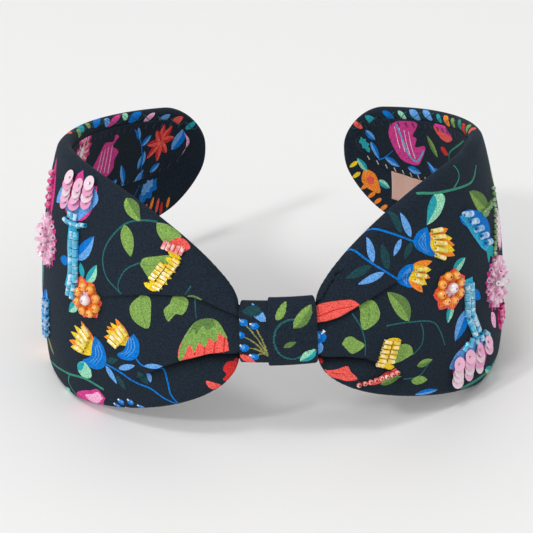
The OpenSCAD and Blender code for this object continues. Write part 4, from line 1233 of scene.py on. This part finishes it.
def bead_glass(name, colour, glint=0.6, rough=0.1, scale=620):
    """Glass under a clear coat: deep and pale patches of one colour from stretched noise; the pale patches are
    painted glints, whiter as glint grows.
    """
    m = plain(name, colour, rough, scale=scale, Coat_Weight=0.9, Coat_Roughness=0.04, Specular_IOR_Level=0.7)
    ramp = next(n for n in m.node_tree.nodes if n.type == "VALTORGB").color_ramp
    ramp.elements[0].color = (*[c * 0.72 for c in colour], 1)
    ramp.elements[0].position = 0.34
    ramp.elements[1].color = (*colour, 1)
    ramp.elements[1].position = 0.5
    # Painted glint: a near-white stop in the base colour.
    pale = ramp.elements.new(0.64)
    pale.color = (*[c + (0.95 - c) * glint for c in colour], 1)
    return m


def sequin_film():
    """Glossy pearly film in the colour of each sequin."""
    m, nodes, links, bsdf = new_material("Sequin film")
    paint = nodes.new("ShaderNodeAttribute")
    paint.attribute_name = "print"
    links.new(paint.outputs["Color"], bsdf.inputs["Base Color"])
    for key, value in (("Roughness", 0.16), ("Metallic", 0.1), ("Coat Weight", 0.9), ("Coat Roughness", 0.05),
                       ("Sheen Weight", 0.2), ("Specular IOR Level", 0.8)):
        bsdf.inputs[key].default_value = value
    return m


def paint_node(node, material):
    """Gives a CAD node its finish."""
    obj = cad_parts[node]
    if not obj.data.materials:
        obj.data.materials.append(material)
    for i in range(len(obj.material_slots)):
        obj.material_slots[i].material = material


def dress(obj, material, slot, *nodes):
    obj.data.materials.append(material)
    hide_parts(*nodes)
    return obj


def band_now():
    return Band(bpy.context.scene.headband_sizes)


def cross_joint(band, obj, side):
    """Bakes the object's placement into its mesh; the points a and b either side of the wrap's edge are worked
    out but not used.
    """
    k = band.start[side]
    a = band.place(np.array(k - 0.2), 0.0, np.array(0.0), side)
    b = band.place(np.array(k + 11.0), 0.0, np.array(0.0), side)
    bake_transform(obj)


def get_material(name, maker):
    return bpy.data.materials.get(name) or maker()


# ---------------------------------------------------------------- operators

class HEADBAND_OT_covers(bpy.types.Operator):
    """Make the printed cover of each arm"""
    bl_idname = "headband.covers"
    bl_label = "Printed covers"

    def execute(self, context):
        band = band_now()
        cotton = get_material("Printed cotton", printed_cotton)
        for label, side in SIDES.items():
            obj = dress(make_cover(band, label, side), cotton, "printed_cotton", label + "_cover")
            cross_joint(band, obj, side)
        return {"FINISHED"}


class HEADBAND_OT_linings(bpy.types.Operator):
    """Make the printed lining of each arm"""
    bl_idname = "headband.linings"
    bl_label = "Linings"

    def execute(self, context):
        band = band_now()
        cotton = get_material("Printed cotton", printed_cotton)
        for label, side in SIDES.items():
            obj = dress(make_lining(band, label, side), cotton, "lining_cloth", label + "_lining")
            flat, area = lining_cut(band, side)
            cross_joint(band, obj, side)
        return {"FINISHED"}


class HEADBAND_OT_padding(bpy.types.Operator):
    """Make the core strip and the padding inside each arm"""
    bl_idname = "headband.padding"
    bl_label = "Core and padding"

    def execute(self, context):
        band = band_now()
        foam = plain("Cream foam", (0.85, 0.83, 0.7), 0.9)
        plastic = plain("White plastic", (0.8, 0.8, 0.75), 0.45)
        for label, side in SIDES.items():
            for part, n0, n1, m, mat, slot in (("core", -0.5, 0.5, 5, plastic, "plastic_core"),
                                               ("foam", 0.65, 0.95, 2.2, foam, "foam"),
                                               ("inner_pad", -1.25, -0.65, 3, foam, "foam")):
                obj = make_layer(band, f"{label}_{part}_inside", side, n0, n1, m)
                dress(obj, mat, slot, f"{label}_{part}")
                cross_joint(band, obj, side)
        for node in ("core_bridge", "knot_filler"):
            paint_node(node, plastic if node == "core_bridge" else foam)
        return {"FINISHED"}


class HEADBAND_OT_wrap(bpy.types.Operator):
    """Make both turns of the wrap"""
    bl_idname = "headband.wrap"
    bl_label = "Knot wrap"

    def execute(self, context):
        band = band_now()
        cotton = get_material("Printed cotton", printed_cotton)
        under = make_turn(band, "wrap_first_turn", band.wrap_left, band.wrap_right - 1.2, 0.0,
                          print_wrap_under())
        over = make_turn(band, "wrap_second_turn", band.fold_x, band.wrap_right,
                         band.wrap_t + band.wrap_gap, print_wrap_over())
        for obj, node in ((under, "wrap_under"), (over, "wrap_over")):
            dress(obj, cotton, "printed_cotton", node)
            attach(obj, "knot")
        return {"FINISHED"}


class HEADBAND_OT_label(bpy.types.Operator):
    """Make the blank label"""
    bl_idname = "headband.label"
    bl_label = "Label"

    def execute(self, context):
        obj = make_label(band_now())
        # The label's own peach, darkened for the shade it hangs in under the band: painted shade.
        satin = plain("Peach satin", (0.66, 0.39, 0.31), 0.42, spread=0.05, scale=1500, Sheen_Weight=0.3)
        dress(obj, satin, "satin_label", "right_label")
        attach(obj, "right_arm")
        return {"FINISHED"}


class HEADBAND_OT_sequins(bpy.types.Operator):
    """Make the cupped sequins of both arms"""
    bl_idname = "headband.sequins"
    bl_label = "Sequins"

    def execute(self, context):
        film = sequin_film()
        for label, side in SIDES.items():
            obj = dress(make_sequins(band_now(), label, side), film, "pink_sequin", label + "_pink_sequins")
            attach(obj, label + "_arm")
        return {"FINISHED"}


class HEADBAND_OT_beads(bpy.types.Operator):
    """Give the sewn-on beads and the stitches their finishes"""
    bl_idname = "headband.beads"
    bl_label = "Beads and stitches"

    def execute(self, context):
        finishes = {
            "cyan_bugles": bead_glass("Cyan glass", (0.03, 0.47, 0.74)),
            "orange_beads": bead_glass("Orange glass", (1.0, 0.36, 0.01), 0.15, 0.25),
            "pearl": bead_glass("Pearl", (0.88, 0.76, 0.84), 0.5, 0.15),
            "pearls": bead_glass("Pearl white", (0.88, 0.78, 0.85), 0.5, 0.15),
            "crocus_bugles": bead_glass("Yellow glass", (0.93, 0.7, 0.06), 0.65),
            "fringe_bugles": bead_glass("Bright yellow glass", (0.95, 0.66, 0.015), 0.6),
            "crystal_flower": bead_glass("Pink glass", (0.9, 0.45, 0.66), 0.75),
            "magenta_beads": bead_glass("Magenta glass", (0.72, 0.02, 0.24), 0.4),
            "blue_beads": bead_glass("Blue glass", (0.03, 0.36, 0.75), 0.6),
            "green_beads": bead_glass("Green glass", (0.16, 0.36, 0.1), 0.5),
            "coral_beads": bead_glass("Coral glass", (0.9, 0.2, 0.17), 0.6),
        }
        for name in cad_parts:
            group = name.split("_", 1)[1] if name.startswith(("left_", "right_")) else ""
            if group in finishes:
                paint_node(name, finishes[group])
        dark = plain("Dark thread", (0.03, 0.035, 0.06), 0.7)
        pale = plain("Pale thread", (0.6, 0.57, 0.5), 0.7)
        for name in ("left_slip_stitches", "left_edge_stitches", "right_edge_stitches", "wrap_stitches"):
            paint_node(name, dark)
        paint_node("right_slip_stitches", pale)
        return {"FINISHED"}


class HEADBAND_OT_stage(bpy.types.Operator):
    """Add the floor, the lights and the camera"""
    bl_idname = "headband.stage"
    bl_label = "Stage"

    def execute(self, context):
        p = context.scene.headband_stage
        u = np.linspace(-2.5, 2.5, 3)
        gx, gy = np.meshgrid(u, u, indexing="ij")
        verts = np.stack([gx, gy, np.full_like(gx, -0.0002)], -1).reshape(-1, 3)
        floor = make_mesh("floor", verts, [(0, 3, 4, 1), (1, 4, 5, 2), (3, 6, 7, 4), (4, 7, 8, 5)])
        floor.data.materials.append(plain("Pale table", (0.88, 0.88, 0.88), 0.6, spread=0.004, scale=3))
        aim = Vector((p.aim_x, p.aim_y, p.aim_z)) * MM
        centre = Vector((0, 1.6, 38.5)) * MM
        e, r = math.radians(p.elevation), math.radians(p.roll)
        eye = centre + Vector((0.003, -math.cos(e), math.sin(e))) * p.distance * MM
        ahead = (aim - eye).normalized()
        right = ahead.cross(Vector((0, 0, 1))).normalized()
        up = right.cross(ahead)
        right, up = right * math.cos(r) + up * math.sin(r), up * math.cos(r) - right * math.sin(r)
        turn = Matrix((right, up, -ahead)).transposed()
        data = bpy.data.cameras.new("camera")
        data.lens = p.lens
        data.sensor_width = 36
        data.clip_start = 0.01
        camera = bpy.data.objects.new("camera", data)
        camera.matrix_world = Matrix.Translation(eye) @ turn.to_4x4()
        context.scene.collection.objects.link(camera)
        context.scene.camera = camera
        self.light(context, "key", (-1.5, -1.5, 1.67), 0.3, p.key)
        self.light(context, "above", (-0.5, -0.9, 2.4), 0.5, p.above)
        world = bpy.data.worlds.new("surroundings")
        world.use_nodes = True
        world.node_tree.nodes["Background"].inputs["Color"].default_value = (0.99, 0.985, 0.98, 1)
        world.node_tree.nodes["Background"].inputs["Strength"].default_value = p.world
        context.scene.world = world
        context.scene.view_settings.view_transform = "Standard"
        return {"FINISHED"}

    def light(self, context, name, at, width, power):
        data = bpy.data.lights.new(name, "AREA")
        data.shape = "DISK"
        data.size = width
        data.energy = power
        lamp = bpy.data.objects.new(name, data)
        lamp.location = at
        lamp.rotation_euler = (Vector((0, 0, 0.03)) - Vector(at)).to_track_quat("-Z", "Y").to_euler()
        context.scene.collection.objects.link(lamp)


class HEADBAND_PT_panel(bpy.types.Panel):
    """Steps of the headband, in order"""
    bl_label = "Knotted headband"
    bl_idname = "HEADBAND_PT_panel"
    bl_space_type = "VIEW_3D"
    bl_region_type = "UI"
    bl_category = "Headband"

    def draw(self, context):
        for step in STEPS:
            self.layout.operator(step.bl_idname)


STEPS = (HEADBAND_OT_stage, HEADBAND_OT_covers, HEADBAND_OT_linings, HEADBAND_OT_padding, HEADBAND_OT_wrap,
         HEADBAND_OT_label, HEADBAND_OT_sequins, HEADBAND_OT_beads)
CLASSES = (BandSizes, PrintColours, StageSettings, *STEPS, HEADBAND_PT_panel)


def register():
    for c in CLASSES:
        bpy.utils.register_class(c)
    bpy.types.Scene.headband_sizes = PointerProperty(type=BandSizes)
    bpy.types.Scene.headband_print = PointerProperty(type=PrintColours)
    bpy.types.Scene.headband_stage = PointerProperty(type=StageSettings)


def unregister():
    del bpy.types.Scene.headband_stage
    del bpy.types.Scene.headband_print
    del bpy.types.Scene.headband_sizes
    for c in reversed(CLASSES):
        bpy.utils.unregister_class(c)


def main():
    register()
    bpy.ops.headband.stage()
    bpy.ops.headband.covers()
    bpy.ops.headband.linings()
    bpy.ops.headband.padding()
    bpy.ops.headband.wrap()
    bpy.ops.headband.label()
    bpy.ops.headband.sequins()
    bpy.ops.headband.beads()


if __name__ == "__main__":
    main()
